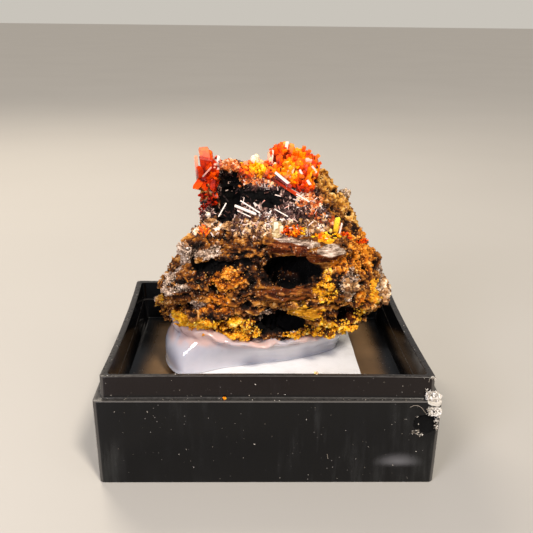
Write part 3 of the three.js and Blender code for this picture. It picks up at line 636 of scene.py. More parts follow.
def crystal_mesh(rows, sides=6):
    """Prisms with chisel ends as one mesh. A row is root, tip, width, thickness, roll in degrees,
    tint from 0 (deep red) to 1 (yellow), and paleness from 0 to 1. Unrolled, the width faces the front;
    the roll also sets how blunt the end is."""
    root = np.array([r[0] for r in rows], dtype=float)
    tip = np.array([r[1] for r in rows], dtype=float)
    wide, thick, roll, tint, pale = (np.array([r[k] for r in rows], dtype=float) for k in range(2, 7))
    length = np.linalg.norm(tip - root, axis=1)
    axis = (tip - root) / length[:, None]
    helper = np.where(np.abs(axis[:, 1:2]) < 0.9, [[0.0, 1.0, 0.0]], [[0.0, 0.0, 1.0]])
    side = np.cross(helper, axis)
    side /= np.linalg.norm(side, axis=1)[:, None]
    other = np.cross(axis, side)
    turn = np.radians(roll)[:, None]
    across, along = side * np.cos(turn) + other * np.sin(turn), other * np.cos(turn) - side * np.sin(turn)
    angles = 2 * np.pi * (np.arange(sides) + 0.5) / sides
    slope = np.sin(roll * 1.7) * 0.4
    blunt = 0.5 + 0.5 * np.cos(np.radians(roll) * 5)
    cone = np.minimum(0.45 * wide, 0.35 * length) * (1 - 0.6 * blunt)
    stations = [(0.0, 0.9, 0.9), (1.0, 1.0, 1.0), (2.0, 0.4 + 0.42 * blunt, 0.16 + 0.55 * blunt)]
    points, share = [], []
    for place, fat, thin in stations:
        far = np.select([place == 0, place == 1], [0 * length, length - cone], length)
        for angle in angles:
            u = np.cos(angle) * wide / 2 * fat
            v = np.sin(angle) * thick / 2 * thin
            lean = (u + 0.2 * wide * (place == 2)) * slope * (place > 0)
            points.append(root + axis * (far + lean)[:, None] + across * u[:, None] + along * v[:, None])
            share.append(far / length)
    points = np.stack(points, axis=1)
    share = np.stack(share, axis=1)
    count = points.shape[1]
    skin = tube(len(stations), sides)
    faces = [[n * count + v for v in face] for n in range(len(rows)) for face in skin]
    flat = points.reshape(-1, 3)
    flat[:, 2] = np.where(flat[:, 2] > TOP_Z, TOP_Z - 0.02 * (flat[:, 2] - TOP_Z), flat[:, 2])
    flat[:, :2] = np.clip(flat[:, :2], -INNER, INNER)
    shade = np.column_stack([np.repeat(tint, count), np.repeat(pale, count), share.ravel()])
    return flat, faces, shade


def make_crystals(name, rows, material, sides=6):
    points, faces, shade = crystal_mesh(rows, sides)
    made = piece(name, points, faces, material)
    outward(made.data)
    store(made.data, "shade", shade)
    return made


def clump(
    seed, middle, reach, count, length, wide, tint, pale=(0.0, 0.08), lean=(0, 0, 0), tone=None, stand=0.6
):
    """Crystals in all directions over an ellipsoid: how far they stand outwards, and lean one way."""
    rng = np.random.default_rng(SEED + seed)
    rows = []
    while len(rows) < count:
        out = rng.normal(size=3)
        out /= np.linalg.norm(out)
        depth = rng.uniform(0.72, 1.0)
        root = np.array(middle) + out * reach * depth
        way = out * stand + rng.normal(size=3) * 0.6 + lean
        way /= np.linalg.norm(way)
        long = rng.uniform(*length) * rng.uniform(0.6, 1.0)
        across = rng.uniform(*wide)
        patch = noise.noise(Vector(root)) * 0.5 + (tone(root) if tone else 0.0)
        rows.append((
            root - way * long * 0.5,
            root + way * long * 0.5,
            across,
            across * rng.uniform(0.5, 0.95),
            72 * rng.integers(0, 5) + rng.normal() * 10,
            float(np.clip(rng.uniform(*tint) + patch, 0, 1)),
            # A few crystals at random are painted pale: painted highlights.
            rng.uniform(*pale) if rng.random() > 0.03 else rng.uniform(0.3, 0.8),
        ))
    return rows


def fan(seed, foot, way, count, length, wide, spread, tint, pale=(0.0, 0.1)):
    """Needles that spread from one foot."""
    rng = np.random.default_rng(SEED + seed)
    rows = []
    for _ in range(count):
        lean = np.array(way) + rng.normal(size=3) * spread
        lean /= np.linalg.norm(lean)
        start = np.array(foot) + rng.normal(size=3) * 0.12
        across = rng.uniform(*wide)
        end = start + lean * rng.uniform(*length)
        roll = rng.uniform(0, 180)
        rows.append((start, end, across, across * 0.8, roll, rng.uniform(*tint), rng.uniform(*pale)))
    return rows


def left_rows():
    """The tall group on the left column: a pale blade above, deep red and orange blocks below."""
    rows = [
        ((-5.7, -2.4, 25.2), (-6.05, -3, 28.6), 1.6, 1.15, 6, 0.12, 0),
        ((-5.8, -2.6, 26.9), (-6.25, -3.15, 29.45), 1.3, 0.6, 2, 0.42, 0.22),
        ((-5.4, -2.5, 26.9), (-5.7, -3, 29.2), 0.7, 0.5, -16, 0.4, 0),
        ((-5.35, -2.3, 25.3), (-5.3, -3, 28.1), 0.9, 0.8, 20, 0.14, 0),
        ((-6.8, -2.8, 26.1), (-6.98, -3.1, 28.6), 0.42, 0.36, 0, 0.42, 0.35),
        ((-5.9, -2.8, 27), (-7, -3.3, 25.4), 0.9, 0.75, 12, 0.34, 0),
        ((-5.6, -2.9, 26.8), (-6.25, -3.7, 25.3), 0.75, 0.6, -16, 0.22, 0),
        ((-5.2, -2.9, 26.6), (-5.35, -3.6, 25.2), 0.7, 0.6, 18, 0.1, 0),
        ((-6.3, -3.35, 26.6), (-5.45, -3.75, 27.6), 0.2, 0.18, 0, 0.35, 0.4),
        ((-6.2, -3.25, 27.2), (-5.4, -3.45, 27.9), 0.4, 0.3, 10, 0.3, 0),
        ((-6.1, -3.2, 26.1), (-5.2, -3.6, 27), 0.4, 0.34, 20, 0.3, 0),
        ((-5, -2.6, 27.3), (-4.75, -2.8, 28.6), 0.36, 0.3, 10, 0.4, 0.9),
        ((-5.2, -2.4, 26.2), (-4.85, -3.1, 27.2), 0.5, 0.45, 30, 0.25, 0),
        ((-6.5, -2.9, 25.9), (-6.6, -3.5, 27.7), 0.75, 0.5, 25, 0.2, 0),
        ((-5.9, -1.9, 25.2), (-6, -1.9, 28.2), 1.3, 0.9, 5, 0.18, 0),
    ]
    rows = [(*row[:2], row[2] * 1.08, row[3] * 1.08, *row[4:]) for row in rows]
    rows += clump(
        1, (-5.75, -2.7, 26.1), (0.9, 0.8, 1.05), 110, (0.5, 1.2), (0.24, 0.56), (0.08, 0.32), (0, 0.02),
        lean=(0, 0, 0.6), stand=0.2,
    )
    rows += clump(2, (-5, -2.7, 27.8), (0.4, 0.4, 0.7), 34, (0.3, 0.6), (0.2, 0.36), (0.2, 0.5), (0, 0.7))
    return rows


def column_rows():
    """Small red crystals down the column's front, darker the lower they are."""
    return (
        clump(3, (-5.7, -3.3, 24.75), (0.95, 0.75, 0.42), 60, (0.35, 0.8), (0.16, 0.36), (0.1, 0.42))
        + clump(4, (-5.75, -3.3, 24.05), (0.8, 0.75, 0.4), 50, (0.3, 0.7), (0.14, 0.3), (0, 0.22))
        + clump(5, (-6.15, -3.2, 23.2), (0.5, 0.6, 0.6), 50, (0.25, 0.55), (0.12, 0.26), (0, 0.06), (0, 0.02))
    )


def crest_rows():
    """The orange tuft between the column and the main head, with pale blades on top."""
    rows = [
        ((-1.4, -0.6, 26.9), (-1.35, -0.9, 28.25), 0.72, 0.6, 16, 0.8, 0.75),
        ((-0.95, -0.6, 26.9), (-1, -0.95, 28.5), 0.62, 0.5, -20, 0.85, 0.6),
        ((-0.6, -0.7, 27), (-0.5, -0.9, 27.95), 0.7, 0.55, 10, 0.75, 0.4),
        ((0.15, -0.6, 26.7), (0.2, -0.8, 28.7), 0.26, 0.22, 14, 0.6, 0.45),
        ((0.45, -0.6, 26.8), (0.62, -0.7, 28.9), 0.24, 0.2, 14, 0.7, 0.75),
        ((0, -0.9, 26.6), (0.4, -1.2, 28.2), 0.32, 0.28, 30, 0.85, 0.5),
        ((0.2, -1.1, 26.6), (0.85, -1.5, 27.7), 0.3, 0.26, 5, 0.9, 0.6),
    ]
    for shape in [
        (6, (-1.25, -0.8, 26.8), (1.65, 1.1, 0.85), 230, (0.4, 0.95), (0.26, 0.66)),
        (7, (0.3, -0.9, 26.8), (0.85, 0.9, 0.95), 120, (0.4, 1), (0.24, 0.6)),
    ]:
        rows += clump(*shape, tint=(0.48, 0.6), pale=(0, 0.12), lean=(0, -0.1, 0.6), stand=0.1)
    return rows


def main_tone(root):
    """Yellow down the middle of the main group, redder at its lower edge and its right side."""
    glow = math.exp(-((root[0] - 2.6) ** 2 / 1.2 + (root[2] - 26.9) ** 2 / 2.2))
    rim = 0.4 * max(0.0, (root[0] - 4.2) / 1.2) + max(0.0, (26.9 - 0.4 * root[0] - root[2]) / 0.8)
    return 0.16 * glow - 0.26 * min(rim, 1.0)


def main_rows():
    """The large head of blocky crystals, highest at its left and stepping down to the right."""
    upright = {"lean": (0, -0.1, 1.2), "stand": 0}
    toned = {**upright, "tone": main_tone}
    sheared = {**toned, "lean": (0.5, -0.2, 0.9)}
    crossed = {**sheared, "stand": 0.3}
    rows = []
    for settings, *shape in [
        (toned, 8, (2.8, 0.5, 26.8), (1.9, 1.6, 1.4), 120, (1.2, 2.3), (0.5, 1.2), (0.44, 0.54)),
        (upright, 9, (1.7, 0.4, 28.15), (1.05, 0.9, 0.85), 70, (0.8, 1.7), (0.4, 0.95), (0.38, 0.5)),
        (upright, 10, (3.7, 0.4, 27.55), (0.9, 0.9, 0.8), 50, (0.8, 1.7), (0.4, 0.95), (0.4, 0.52)),
        (upright, 25, (4.35, 0.2, 27), (0.8, 1.1, 0.95), 60, (0.8, 1.6), (0.4, 0.9), (0.4, 0.52)),
        (sheared, 11, (1.15, -0.85, 26.6), (0.9, 0.75, 0.85), 60, (0.6, 1.4), (0.34, 0.8), (0.42, 0.54)),
        (sheared, 12, (3.15, -1.2, 26.3), (1.7, 1, 1.05), 120, (0.8, 1.8), (0.36, 0.95), (0.46, 0.56)),
        (crossed, 26, (3, -1, 26.7), (2, 1.2, 1.4), 50, (0.4, 0.9), (0.16, 0.36), (0.5, 0.75)),
        (sheared, 24, (3.5, -1.7, 25.35), (1.1, 0.7, 0.6), 75, (0.6, 1.2), (0.26, 0.6), (0.3, 0.42)),
    ]:
        rows += clump(*shape, **settings)
    rows += [
        ((0.45, -1.9, 26.2), (3.05, -2.95, 24.75), 0.34, 0.3, 30, 0.3, 0.08),
        ((0.9, -2, 26.5), (2.5, -2.8, 25.5), 0.5, 0.4, 0, 0.1, 0),
        ((0.85, -2.1, 26.85), (2.2, -2.85, 25.85), 0.34, 0.3, 10, 0.3, 0.85),
        ((2.2, -2.3, 25.3), (3.3, -2.6, 24.7), 0.3, 0.26, 10, 0.2, 0.5),
        ((4.55, -1.4, 27.4), (5, -1.6, 26.75), 0.26, 0.24, 20, 0.25, 0.7),
        ((3.3, -2, 27.1), (3.5, -2.3, 26.7), 0.3, 0.26, 14, 0.4, 0.75),
        ((4.05, -2.2, 26.1), (4.35, -2.5, 25.65), 0.34, 0.26, 14, 0.5, 0.7),
        ((1.85, 0.2, 28.2), (1.95, 0.1, 29.6), 0.8, 0.6, 0, 0.62, 0.2),
        ((1.95, 0, 28.9), (2.05, -0.1, 29.62), 0.45, 0.4, 8, 0.7, 0.8),
        ((2.3, 0.2, 28.2), (2.6, 0.1, 29.4), 0.7, 0.6, 0, 0.6, 0.15),
        ((1.3, 0.3, 28.3), (0.85, 0.1, 29.3), 0.5, 0.36, 0, 0.3, 0.1),
        ((1, 0.2, 27.9), (0.35, 0, 28.9), 0.44, 0.34, 0, 0.3, 0.05),
        ((3.7, 0.5, 28.2), (3.85, 0.5, 29.15), 0.55, 0.4, 0, 0.4, 0.05),
        ((4.1, 0.5, 28), (4.45, 0.5, 28.75), 0.5, 0.4, 0, 0.45, 0.05),
        ((4.7, 0.5, 27.6), (5.4, 0.5, 28.25), 0.5, 0.4, 0, 0.5, 0.1),
        ((4.9, 0.2, 27.2), (5.6, 0.1, 27.5), 0.4, 0.34, 0, 0.3, 0.05),
        ((0.7, -0.4, 27.8), (0.35, -0.8, 28.8), 0.4, 0.32, 0, 0.35, 0.1),
    ]
    return rows


def shelf_rows():
    """Small orange crystals on the overhanging slab, beside two pale ones."""
    return clump(13, (2.5, -6, 21.8), (1.15, 0.6, 0.48), 150, (0.3, 0.75), (0.14, 0.32), (0.3, 0.7)) + [
        ((0.8, -5.9, 21.3), (0.85, -6.3, 22.7), 0.62, 0.5, 0, 0.85, 0.75),
        ((1.3, -6, 21.2), (1.35, -6.5, 22.35), 0.5, 0.42, 5, 0.85, 0.6),
    ]


def tablet_rows():
    """The upright yellow tablet with yellow grains round its foot."""
    rows = [
        ((6.72, -4.4, 21), (6.9, -4.95, 22.85), 0.72, 0.42, 8, 1, 0.1),
        ((7.12, -4.3, 20.9), (7.35, -4.8, 22.3), 0.2, 0.3, 0, 0.95, 1),
        ((6.35, -4.5, 20.9), (6.2, -5.1, 21.8), 0.4, 0.3, 30, 0.95, 0.3),
    ]
    rows += clump(14, (5.3, -5.3, 20.85), (0.9, 0.6, 0.6), 120, (0.3, 0.8), (0.16, 0.4), (0.6, 1))
    rows += clump(15, (6.6, -4.7, 20.9), (0.7, 0.6, 0.45), 60, (0.25, 0.6), (0.12, 0.28), (0.5, 0.95))
    return rows


def right_rows():
    """Two patches of red grains along the right shoulder."""
    return (
        clump(16, (7.9, -3.7, 20.8), (0.6, 0.45, 0.32), 60, (0.3, 0.7), (0.14, 0.3), (0.2, 0.5))
        + clump(17, (9.3, -2.9, 20.1), (0.85, 0.5, 0.32), 80, (0.3, 0.75), (0.14, 0.3), (0.2, 0.46))
    )


def fan_rows():
    """Two sprays of needles below the column."""
    return (
        fan(18, (-6.2, -4.3, 20.7), (0, -0.5, 0.9), 34, (0.7, 1.45), (0.1, 0.2), 0.35, (0.35, 0.7), (0, 0.2))
        + fan(19, (-7.5, -3.5, 19.8), (-0.1, -0.3, 0.9), 12, (0.5, 0.9), (0.08, 0.14), 0.3, (0.1, 0.3))
    )


def needle_rows():
    """Pale needles that lie on the slope: a few large ones and many thin ones."""
    rows = [
        ((-3.15, -4.05, 23.85), (-1.05, -4.75, 23.15), 0.32, 0.24, 26, 0.5, 0.95),
        ((-2.6, -4, 24.35), (-0.7, -4.75, 23.3), 0.15, 0.13, 0, 0.5, 1),
        ((-4.75, -4.3, 22.8), (-4, -4, 24.1), 0.14, 0.12, 0, 0.5, 1),
        ((0.75, -4.1, 23.55), (2.05, -4.75, 22.95), 0.13, 0.11, 0, 0.5, 1),
        ((-2.9, -4.3, 23.4), (-1.6, -4.8, 22.9), 0.12, 0.1, 0, 0.5, 0.9),
        ((2.9, -3.2, 24.9), (4.2, -3.7, 24.2), 0.14, 0.12, 0, 0.4, 0.85),
    ]
    rng = np.random.default_rng(SEED + 26)
    for _ in range(26):
        x, z = rng.uniform(-3.0, 5.0), rng.uniform(22.2, 25.6)
        turn, long = rng.uniform(0, math.pi), rng.uniform(0.2, 0.45)
        way = np.array([math.cos(turn), math.sin(turn) * 0.7 - 0.3, math.sin(turn) * 0.7]) * long
        root = np.array([x, z + SLOPE_Y, z])
        across = rng.uniform(0.06, 0.12)
        roll, tint, pale = rng.uniform(0, 180), rng.uniform(0.1, 0.6), rng.uniform(0.4, 0.9)
        rows.append((root - way, root + way, across, across * 0.8, roll, tint, pale))
    return rows


def crocoite(bench):
    tint, pale, along = bench.split("shade")
    at = bench.place()
    body = bench.cloud(at, 0.5, 3.0, 0.6)
    # Darker towards each crystal's root (along): painted shade where the crystals crowd together.
    tone = tint + (body - 0.5) * 0.6 + (along - 0.85) * 0.25
    crack = bench.cells(at, 0.42, "DISTANCE_TO_EDGE").between(0.07, 0.0) * body.between(0.35, 0.6)
    colour = bench.coated(
        bench.ramp(tone, "0 #7c0c00, 0.2 #c62c00, 0.4 #f45800, 0.6 #ff8c00, 0.8 #ffba00, 1 #ffe436"),
        ("#5c0a00", crack * 0.75),
        # Painted shade at the roots of the crystals.
        ("#2c0300", along.between(0.45, 0.02) * 0.8),
        ("#fff0e2", (pale * 0.92).between(0.0, 0.95)),
    )
    lines = bench.cloud(bench.place((9, 9, 9)), 1.0, 2.0, 0.5)
    return {
        "Base Color": colour,
        "Roughness": 0.14 + lines * 0.2,
        "IOR": 1.6,
        "Specular IOR Level": 0.12,
        "Subsurface Weight": 0.03,
        "Subsurface Radius": (0.0009, 0.0005, 0.0002),
        "Subsurface Scale": 1.0,
        # Painted glow: each crystal gives off a little light in its own colour.
        "Emission Color": colour,
        "Emission Strength": 0.1,
        "Normal": bench.relief(lines, 0.02, 0.35),
    }


# The rows of each group, its slot and how many sides its crystals have.
CLUSTERS = {
    "left": (left_rows, "crocoite_red", 4),
    "column": (column_rows, "crocoite_red", 4),
    "crest": (crest_rows, "crocoite_orange", 4),
    "main": (main_rows, "crocoite_orange", 4),
    "shelf": (shelf_rows, "crocoite_orange", 4),
    "tablet": (tablet_rows, "crocoite_yellow", 4),
    "right": (right_rows, "crocoite_red", 4),
    "fan": (fan_rows, "crocoite_orange", 6),
}


def make_clusters(material):
    for name, (rows, slot, sides) in CLUSTERS.items():
        made = make_crystals("crocoite_crystals_" + name, rows(), material, sides)
        dressed(made, slot, "crocoite_" + name)


# ---- what grows over the rock, by Geometry Nodes ----
# Outlines of the strewn chips, about one millimetre across: rows of (height, scale) over an outline.
CHIPS = {
    "flake": ([(-0.5, -0.28), (0.3, -0.42), (0.5, 0.12), (-0.2, 0.4)], [(-0.05, 1), (0.05, 0.92)]),
    "rod": ([(-0.09, -0.07), (0.09, -0.07), (0.09, 0.07), (-0.09, 0.07)], [(-0.5, 0.9), (0.5, 0.8)]),
    "crumb": ([(0.45, 0.05), (0, 0.42), (-0.4, 0.1), (-0.05, -0.44)], [(-0.4, 0), (0.02, 1), (0.38, 0)]),
    "block": ([(-0.4, -0.34), (0.38, -0.4), (0.42, 0.3), (-0.34, 0.38)], [(-0.34, 1), (0.36, 0.82)]),
}


def chip(kind):
    """A small loose shape to strew."""
    outline, levels = CHIPS[kind]
    work = bmesh.new()
    corners = [work.verts.new(Vector((x * s, y * s, z)) * MM) for z, s in levels for x, y in outline]
    for face in tube(len(levels), len(outline)):
        work.faces.new([corners[i] for i in face])
    bmesh.ops.remove_doubles(work, verts=work.verts, dist=1e-6)
    bmesh.ops.dissolve_degenerate(work, edges=work.edges, dist=1e-6)
    bmesh.ops.recalc_face_normals(work, faces=work.faces)
    return linked("chip_" + kind, mesh_from(work, "chip_" + kind))


def chip_finish(name, stops):
    """A finish for strewn chips: each takes its own tone, mottled by fine noise."""

    def recipe(bench):
        at = bench.place()
        broad = bench.cloud(at, 1.3, 2.0, 0.5).between(0.3, 0.7)
        tone = bench.own("tint") * 0.6 + bench.cloud(at, 0.3, 4.0, 0.65) * 0.5 + broad * 0.35 - 0.24
        return {
            "Base Color": bench.ramp(tone, stops),
            "Roughness": 0.6 + bench.cloud(at, 0.15, 2.0) * 0.2,
            "Specular IOR Level": 0.4,
            "Normal": bench.relief(bench.cloud(at, 0.12, 3.0, 0.7), 0.06, 0.5),
        }

    return surface(name, recipe)


# What a strewing tree is given: kind of socket and value.
STREWN = {
    "Per Area": ("NodeSocketFloat", 1.0),
    "Shortest": ("NodeSocketFloat", 0.2),
    "Longest": ("NodeSocketFloat", 0.5),
    "Lean": ("NodeSocketFloat", 1.0),
    "Lift": ("NodeSocketFloat", 0.0),
    "Seed": ("NodeSocketInt", 1),
}


def strewing_tree(mask, shape, material):
    """Chips strewn over a surface where the mask is high, each with its own tint."""
    tree = bpy.data.node_groups.new("strewn", "GeometryNodeTree")
    face = tree.interface
    face.new_socket("Geometry", in_out="INPUT", socket_type="NodeSocketGeometry")
    for name, (kind, value) in STREWN.items():
        face.new_socket(name, in_out="INPUT", socket_type=kind).default_value = value
    face.new_socket("Geometry", in_out="OUTPUT", socket_type="NodeSocketGeometry")
    bench = Bench(tree)
    given = bench.node("NodeGroupInput", output="Geometry")
    seed, lean, shortest = given.out("Seed"), given.out("Lean"), given.out("Shortest")

    def add(kind, values, output="Geometry", **settings):
        return bench.node(kind, settings, values, output)

    def chance(number):
        """A share from 0 to 1 for each chip."""
        return add("FunctionNodeRandomValue", {2: 0.0, 3: 1.0, "Seed": seed + number}, 1, data_type="FLOAT")

    here = add("GeometryNodeInputNamedAttribute", {"Name": mask}, "Attribute", data_type="FLOAT")
    density = here * given.out("Per Area")
    ground = {"Mesh": given, "Density": density, "Seed": seed}
    spread = add("GeometryNodeDistributePointsOnFaces", ground, "Points", distribute_method="RANDOM")
    normal = spread.out("Normal")
    upright = add("FunctionNodeAlignRotationToVector", {"Vector": normal}, "Rotation", axis="Z")
    turn = {"Min": (-1.0, -1.0, -3.1416), "Max": (1.0, 1.0, 3.1416), "Seed": seed + 1}
    turns = add("FunctionNodeRandomValue", turn, 0, data_type="FLOAT_VECTOR")
    leaned = bench.vector("MULTIPLY", turns, add("ShaderNodeCombineXYZ", {"X": lean, "Y": lean, "Z": 1.0}, 0))
    twist = {"Rotation": upright, "Rotate By": leaned}
    twisted = add("FunctionNodeRotateRotation", twist, "Rotation", rotation_space="LOCAL")
    lift = add("ShaderNodeVectorMath", {0: normal, "Scale": given.out("Lift")}, 0, operation="SCALE")
    raised = add("GeometryNodeSetPosition", {"Geometry": spread, "Offset": lift})
    size = shortest + (given.out("Longest") - shortest) * chance(2) ** 2.0
    model = add("GeometryNodeObjectInfo", {"Object": shape})
    chips = {"Points": raised, "Instance": model, "Rotation": twisted, "Scale": size}
    placed = add("GeometryNodeInstanceOnPoints", chips, "Instances")
    tint = {"Geometry": placed, "Name": "tint", "Value": chance(3)}
    marked = add("GeometryNodeStoreNamedAttribute", tint, data_type="FLOAT", domain="INSTANCE")
    real = add("GeometryNodeRealizeInstances", {"Geometry": marked})
    painted = add("GeometryNodeSetMaterial", {"Geometry": real, "Material": material})
    bench.node("NodeGroupOutput", {}, {"Geometry": painted})
    return tree


def strewn(name, host, mask, shape, material, sizes):
    """A piece made of chips over the host, which is left as it was."""
    tree = strewing_tree(mask, shape, material)
    ground = linked(name + "_ground", host.data)
    grow = ground.modifiers.new("grow", "NODES")
    grow.node_group = tree
    for item in tree.interface.items_tree:
        if item.in_out == "INPUT" and item.name in sizes:
            grow[item.identifier] = sizes[item.name]
    mesh = evaluated(ground)
    ground.modifiers.remove(grow)
    bpy.data.objects.remove(ground)
    return shown(name, mesh, material)


# ---- box base: black polystyrene ----
LEDGE_Z, RIM_Z, FLOOR_Z, UNDER_Z = 8.3, 10.45, 6.0, 4.8
INSIDE = COLLAR / 2 - 0.65  # half the width between the collar's inner faces
FLOOR_HALF, CORNER, BOW = 14.2, 0.5, 0.26  # BOW: how far a wall leans in at mid length
DRAFT = 0.0422  # how far the foot's walls lean out, per millimetre of height
ALONG, ROUND = 12, 6  # points along a side and round a corner

# Places where the plastic is broken at the front right corner: middle, half lengths, seed, whiteness, and the
# hollow that is painted dark as shade and the dent's painted highlight beside them.
SCARS = [
    ((15.35, -15.85, 8.3), (0.75, 0.5, 0.3), 3, 1),
    ((14.4, -16.15, 6.05), (1.25, 0.95, 1.05), 4, 0),
    ((15.15, -16.05, 7.5), (0.75, 0.4, 0.42), 7, 0.5),
    ((15.1, -15.35, 10.5), (0.28, 0.24, 0.16), 5, 0.6),
]
HOLLOW = (14.4, -15.3, 6.05)
DENT_HIGHLIGHT = ((12.1, -15.65, 2), (2.3, 0.6, 1.15))
# Crushed and flaked plastic there: middle, reach, count, lengths, widths.
FLAKED = [
    ((15.05, -15.45, 8.7), (0.75, 0.4, 0.42), 150, (0.2, 0.6), (0.05, 0.2)),
    ((14.6, -15.35, 8.9), (0.25, 0.2, 0.5), 30, (0.2, 0.5), (0.04, 0.12)),
    ((15.15, -15.75, 7.35), (0.68, 0.12, 0.5), 190, (0.14, 0.4), (0.05, 0.18)),
    ((15.62, -15.55, 7.1), (0.14, 0.16, 0.6), 60, (0.12, 0.34), (0.04, 0.14)),
    ((14.7, -15.74, 7.15), (0.36, 0.08, 0.14), 34, (0.12, 0.34), (0.04, 0.12)),
    ((15.42, -15.7, 6.15), (0.14, 0.1, 0.8), 54, (0.12, 0.35), (0.04, 0.12)),
    ((13.5, -15.72, 5.25), (0.42, 0.06, 0.22), 26, (0.12, 0.34), (0.04, 0.12)),
    ((13.95, -15.7, 5), (0.3, 0.06, 0.12), 16, (0.12, 0.34), (0.04, 0.12)),
    ((12.5, -15.74, 6.5), (0.18, 0.05, 0.12), 9, (0.1, 0.25), (0.04, 0.1)),
    ((13.6, -15.76, 6.85), (0.12, 0.05, 0.12), 8, (0.1, 0.22), (0.04, 0.1)),
    ((15, -15.2, 10.3), (0.3, 0.08, 0.1), 14, (0.1, 0.3), (0.04, 0.08)),
]


def quarter(side):
    """Cosine and sine of a number of quarter turns."""
    return math.cos(side * math.pi / 2), math.sin(side * math.pi / 2)


def square_ring(half, z, radius=CORNER, bow=0.0):
    """A rounded square at one height, its sides leaning in by `bow` at mid length."""
    ring = []
    for side in range(4):
        c, s = quarter(side)
        flat = half - radius
        rows = [(half - bow * (1 - t * t), t * flat) for t in (2 * i / ALONG - 1 for i in range(ALONG))]
        angles = (i / ROUND * math.pi / 2 for i in range(ROUND))
        rows += [(flat + radius * math.cos(a), flat + radius * math.sin(a)) for a in angles]
        ring += [(x * c - y * s, x * s + y * c, z) for x, y in rows]
    return ring


def loft(name, rings, material):
    """A closed skin through rings of equal count."""
    points = [p for ring in rings for p in ring]
    made = piece(name, points, tube(len(rings), len(rings[0])), material)
    outward(made.data, merge=True)
    return made


def scar_tools():
    """The broken hollows as one cutting solid."""
    work = bmesh.new()
    for middle, half, seed, _ in SCARS:
        ball = bmesh.ops.create_icosphere(work, subdivisions=4, radius=1.0)["verts"]
        for v in ball:
            ridge = noise.ridged_multi_fractal(v.co * 0.9 + Vector((seed, 0, 0)), 0.8, 2.0, 4, 1.0, 2.0)
            v.co *= 0.9 + 0.16 * (ridge - 1.0)
            v.co = Vector(c * h + m for c, h, m in zip(v.co, half, middle)) * MM
    return linked("scar_tools", mesh_from(work, "scar_tools"))


def bevelled(source, width, angle):
    """The mesh of an object with its edges rounded where they are sharper than an angle in degrees."""
    limit = {"limit_method": "ANGLE", "angle_limit": math.radians(angle)}
    return finished(source, ("BEVEL", {"width": width * MM, "segments": 3, **limit}))


def make_tray(material):
    """The hollow foot, the ledge and the collar, broken at the front right corner."""
    foot, ledge, collar = FOOT / 2, BOX / 2, COLLAR / 2
    rings = [
        square_ring(foot - 1.2, UNDER_Z, 0.6),
        square_ring(foot - 1.1, 0.0, 0.6),
        square_ring(foot, 0.0),
        square_ring(ledge, LEDGE_Z),
        square_ring(collar - 0.03, LEDGE_Z, bow=BOW / 2),
        square_ring(collar, RIM_Z, bow=BOW),
        square_ring(INSIDE, RIM_Z, bow=BOW),
        square_ring(FLOOR_HALF, FLOOR_Z, bow=BOW / 2),
    ]
    body = shown("tray", bevelled(loft("tray", rings, material), 0.11, 35), material)
    tool = scar_tools()
    mesh = finished(body, ("BOOLEAN", {"operation": "DIFFERENCE", "solver": "EXACT", "object": tool}))
    bpy.data.objects.remove(tool)
    mesh.shade_smooth()
    mesh.set_sharp_from_angle(angle=math.radians(32))
    return shown("black_tray", mesh, material, True)


# Hairline marks beside the broken corner: points in millimetres.
HAIRS = [
    [
        (12.9, -15.87, 7.75), (13.2, -15.87, 7.92), (13.6, -15.87, 7.94), (13.95, -15.87, 7.72),
        (14.35, -15.86, 7.2),
    ],
    [(14.6, -15.25, 9.95), (14.66, -15.25, 10.3), (15.15, -15.25, 10.4)],
    [(5.5, -15.68, 3), (5.6, -15.66, 2.5)],
]


def torn_rows():
    """Crushed and flaked plastic round the broken places, and hairlines."""
    rows = []
    for line in HAIRS:
        rows += [(a, b, 0.045, 0.045, 0, 0.25, 0) for a, b in zip(line, line[1:])]
    for number, (middle, reach, count, length, wide) in enumerate(FLAKED):
        rows += clump(60 + number, middle, reach, count, length, wide, (0.2, 1), (0, 0))
    return rows


def dust_rows():
    """Specks and crumbs that lie on the ledge, the rim and the outer faces."""
    rng = np.random.default_rng(SEED + 90)
    rows = []
    for _ in range(640):
        kind = rng.choice(4, p=(0.42, 0.14, 0.3, 0.14))  # on the ledge, the rim, the foot or the collar
        side, t = rng.integers(0, 4), rng.uniform(-14.6, 14.6)
        bow = BOW * (1 - (t / 15.0) ** 2)
        z = [LEDGE_Z + 0.02, RIM_Z, rng.uniform(0.4, 7.9), rng.uniform(8.45, 10.3)][kind]
        far = [
            rng.uniform(15.2, 15.7),
            rng.uniform(INSIDE - 0.1, INSIDE + 0.5) - bow,
            (FOOT + (BOX - FOOT) * z / LEDGE_Z) / 2,
            COLLAR / 2 - bow * (0.5 + 0.5 * (z - LEDGE_Z) / (RIM_Z - LEDGE_Z)),
        ][kind]
        c, s = quarter(side)
        size = 0.02 + 0.055 * rng.random() ** 2
        way = rng.normal(size=3)
        way *= size / np.linalg.norm(way)
        place = np.array([far * c - t * s, far * s + t * c, z])
        roll, tint = rng.uniform(0, 180), rng.uniform(0.1, 0.8)
        rows.append((place - way, place + way, size * 1.2, size * 0.8, roll, tint, 0.0))
    return rows


def crumb_rows():
    """Two crumbs of the specimen that fell on the box."""
    alike = {"count": 14, "length": (0.12, 0.26), "wide": (0.1, 0.2)}
    rows = clump(80, (-3.93, -15.45, 8.45), (0.1, 0.08, 0.08), tint=(0.4, 0.7), **alike)
    return rows + clump(81, (4.37, -14.7, 10.6), (0.14, 0.08, 0.1), tint=(0.6, 0.8), pale=(0.2, 0.6), **alike)


def torn_white(bench):
    """Stress-whitened plastic and dust."""
    at = bench.place()
    tint = bench.split("shade")[0]
    tone = tint * 0.8 + bench.cloud(at, 0.15, 3.0, 0.6) * 0.5
    colour = bench.ramp(tone, "0 #463f37, 0.4 #83796b, 0.72 #bfb6a9, 1 #f4efe7")
    crazed = bench.relief(bench.cloud(at, 0.08, 2.0), 0.02, 0.4)
    return {"Base Color": colour, "Roughness": 0.5, "Normal": crazed}


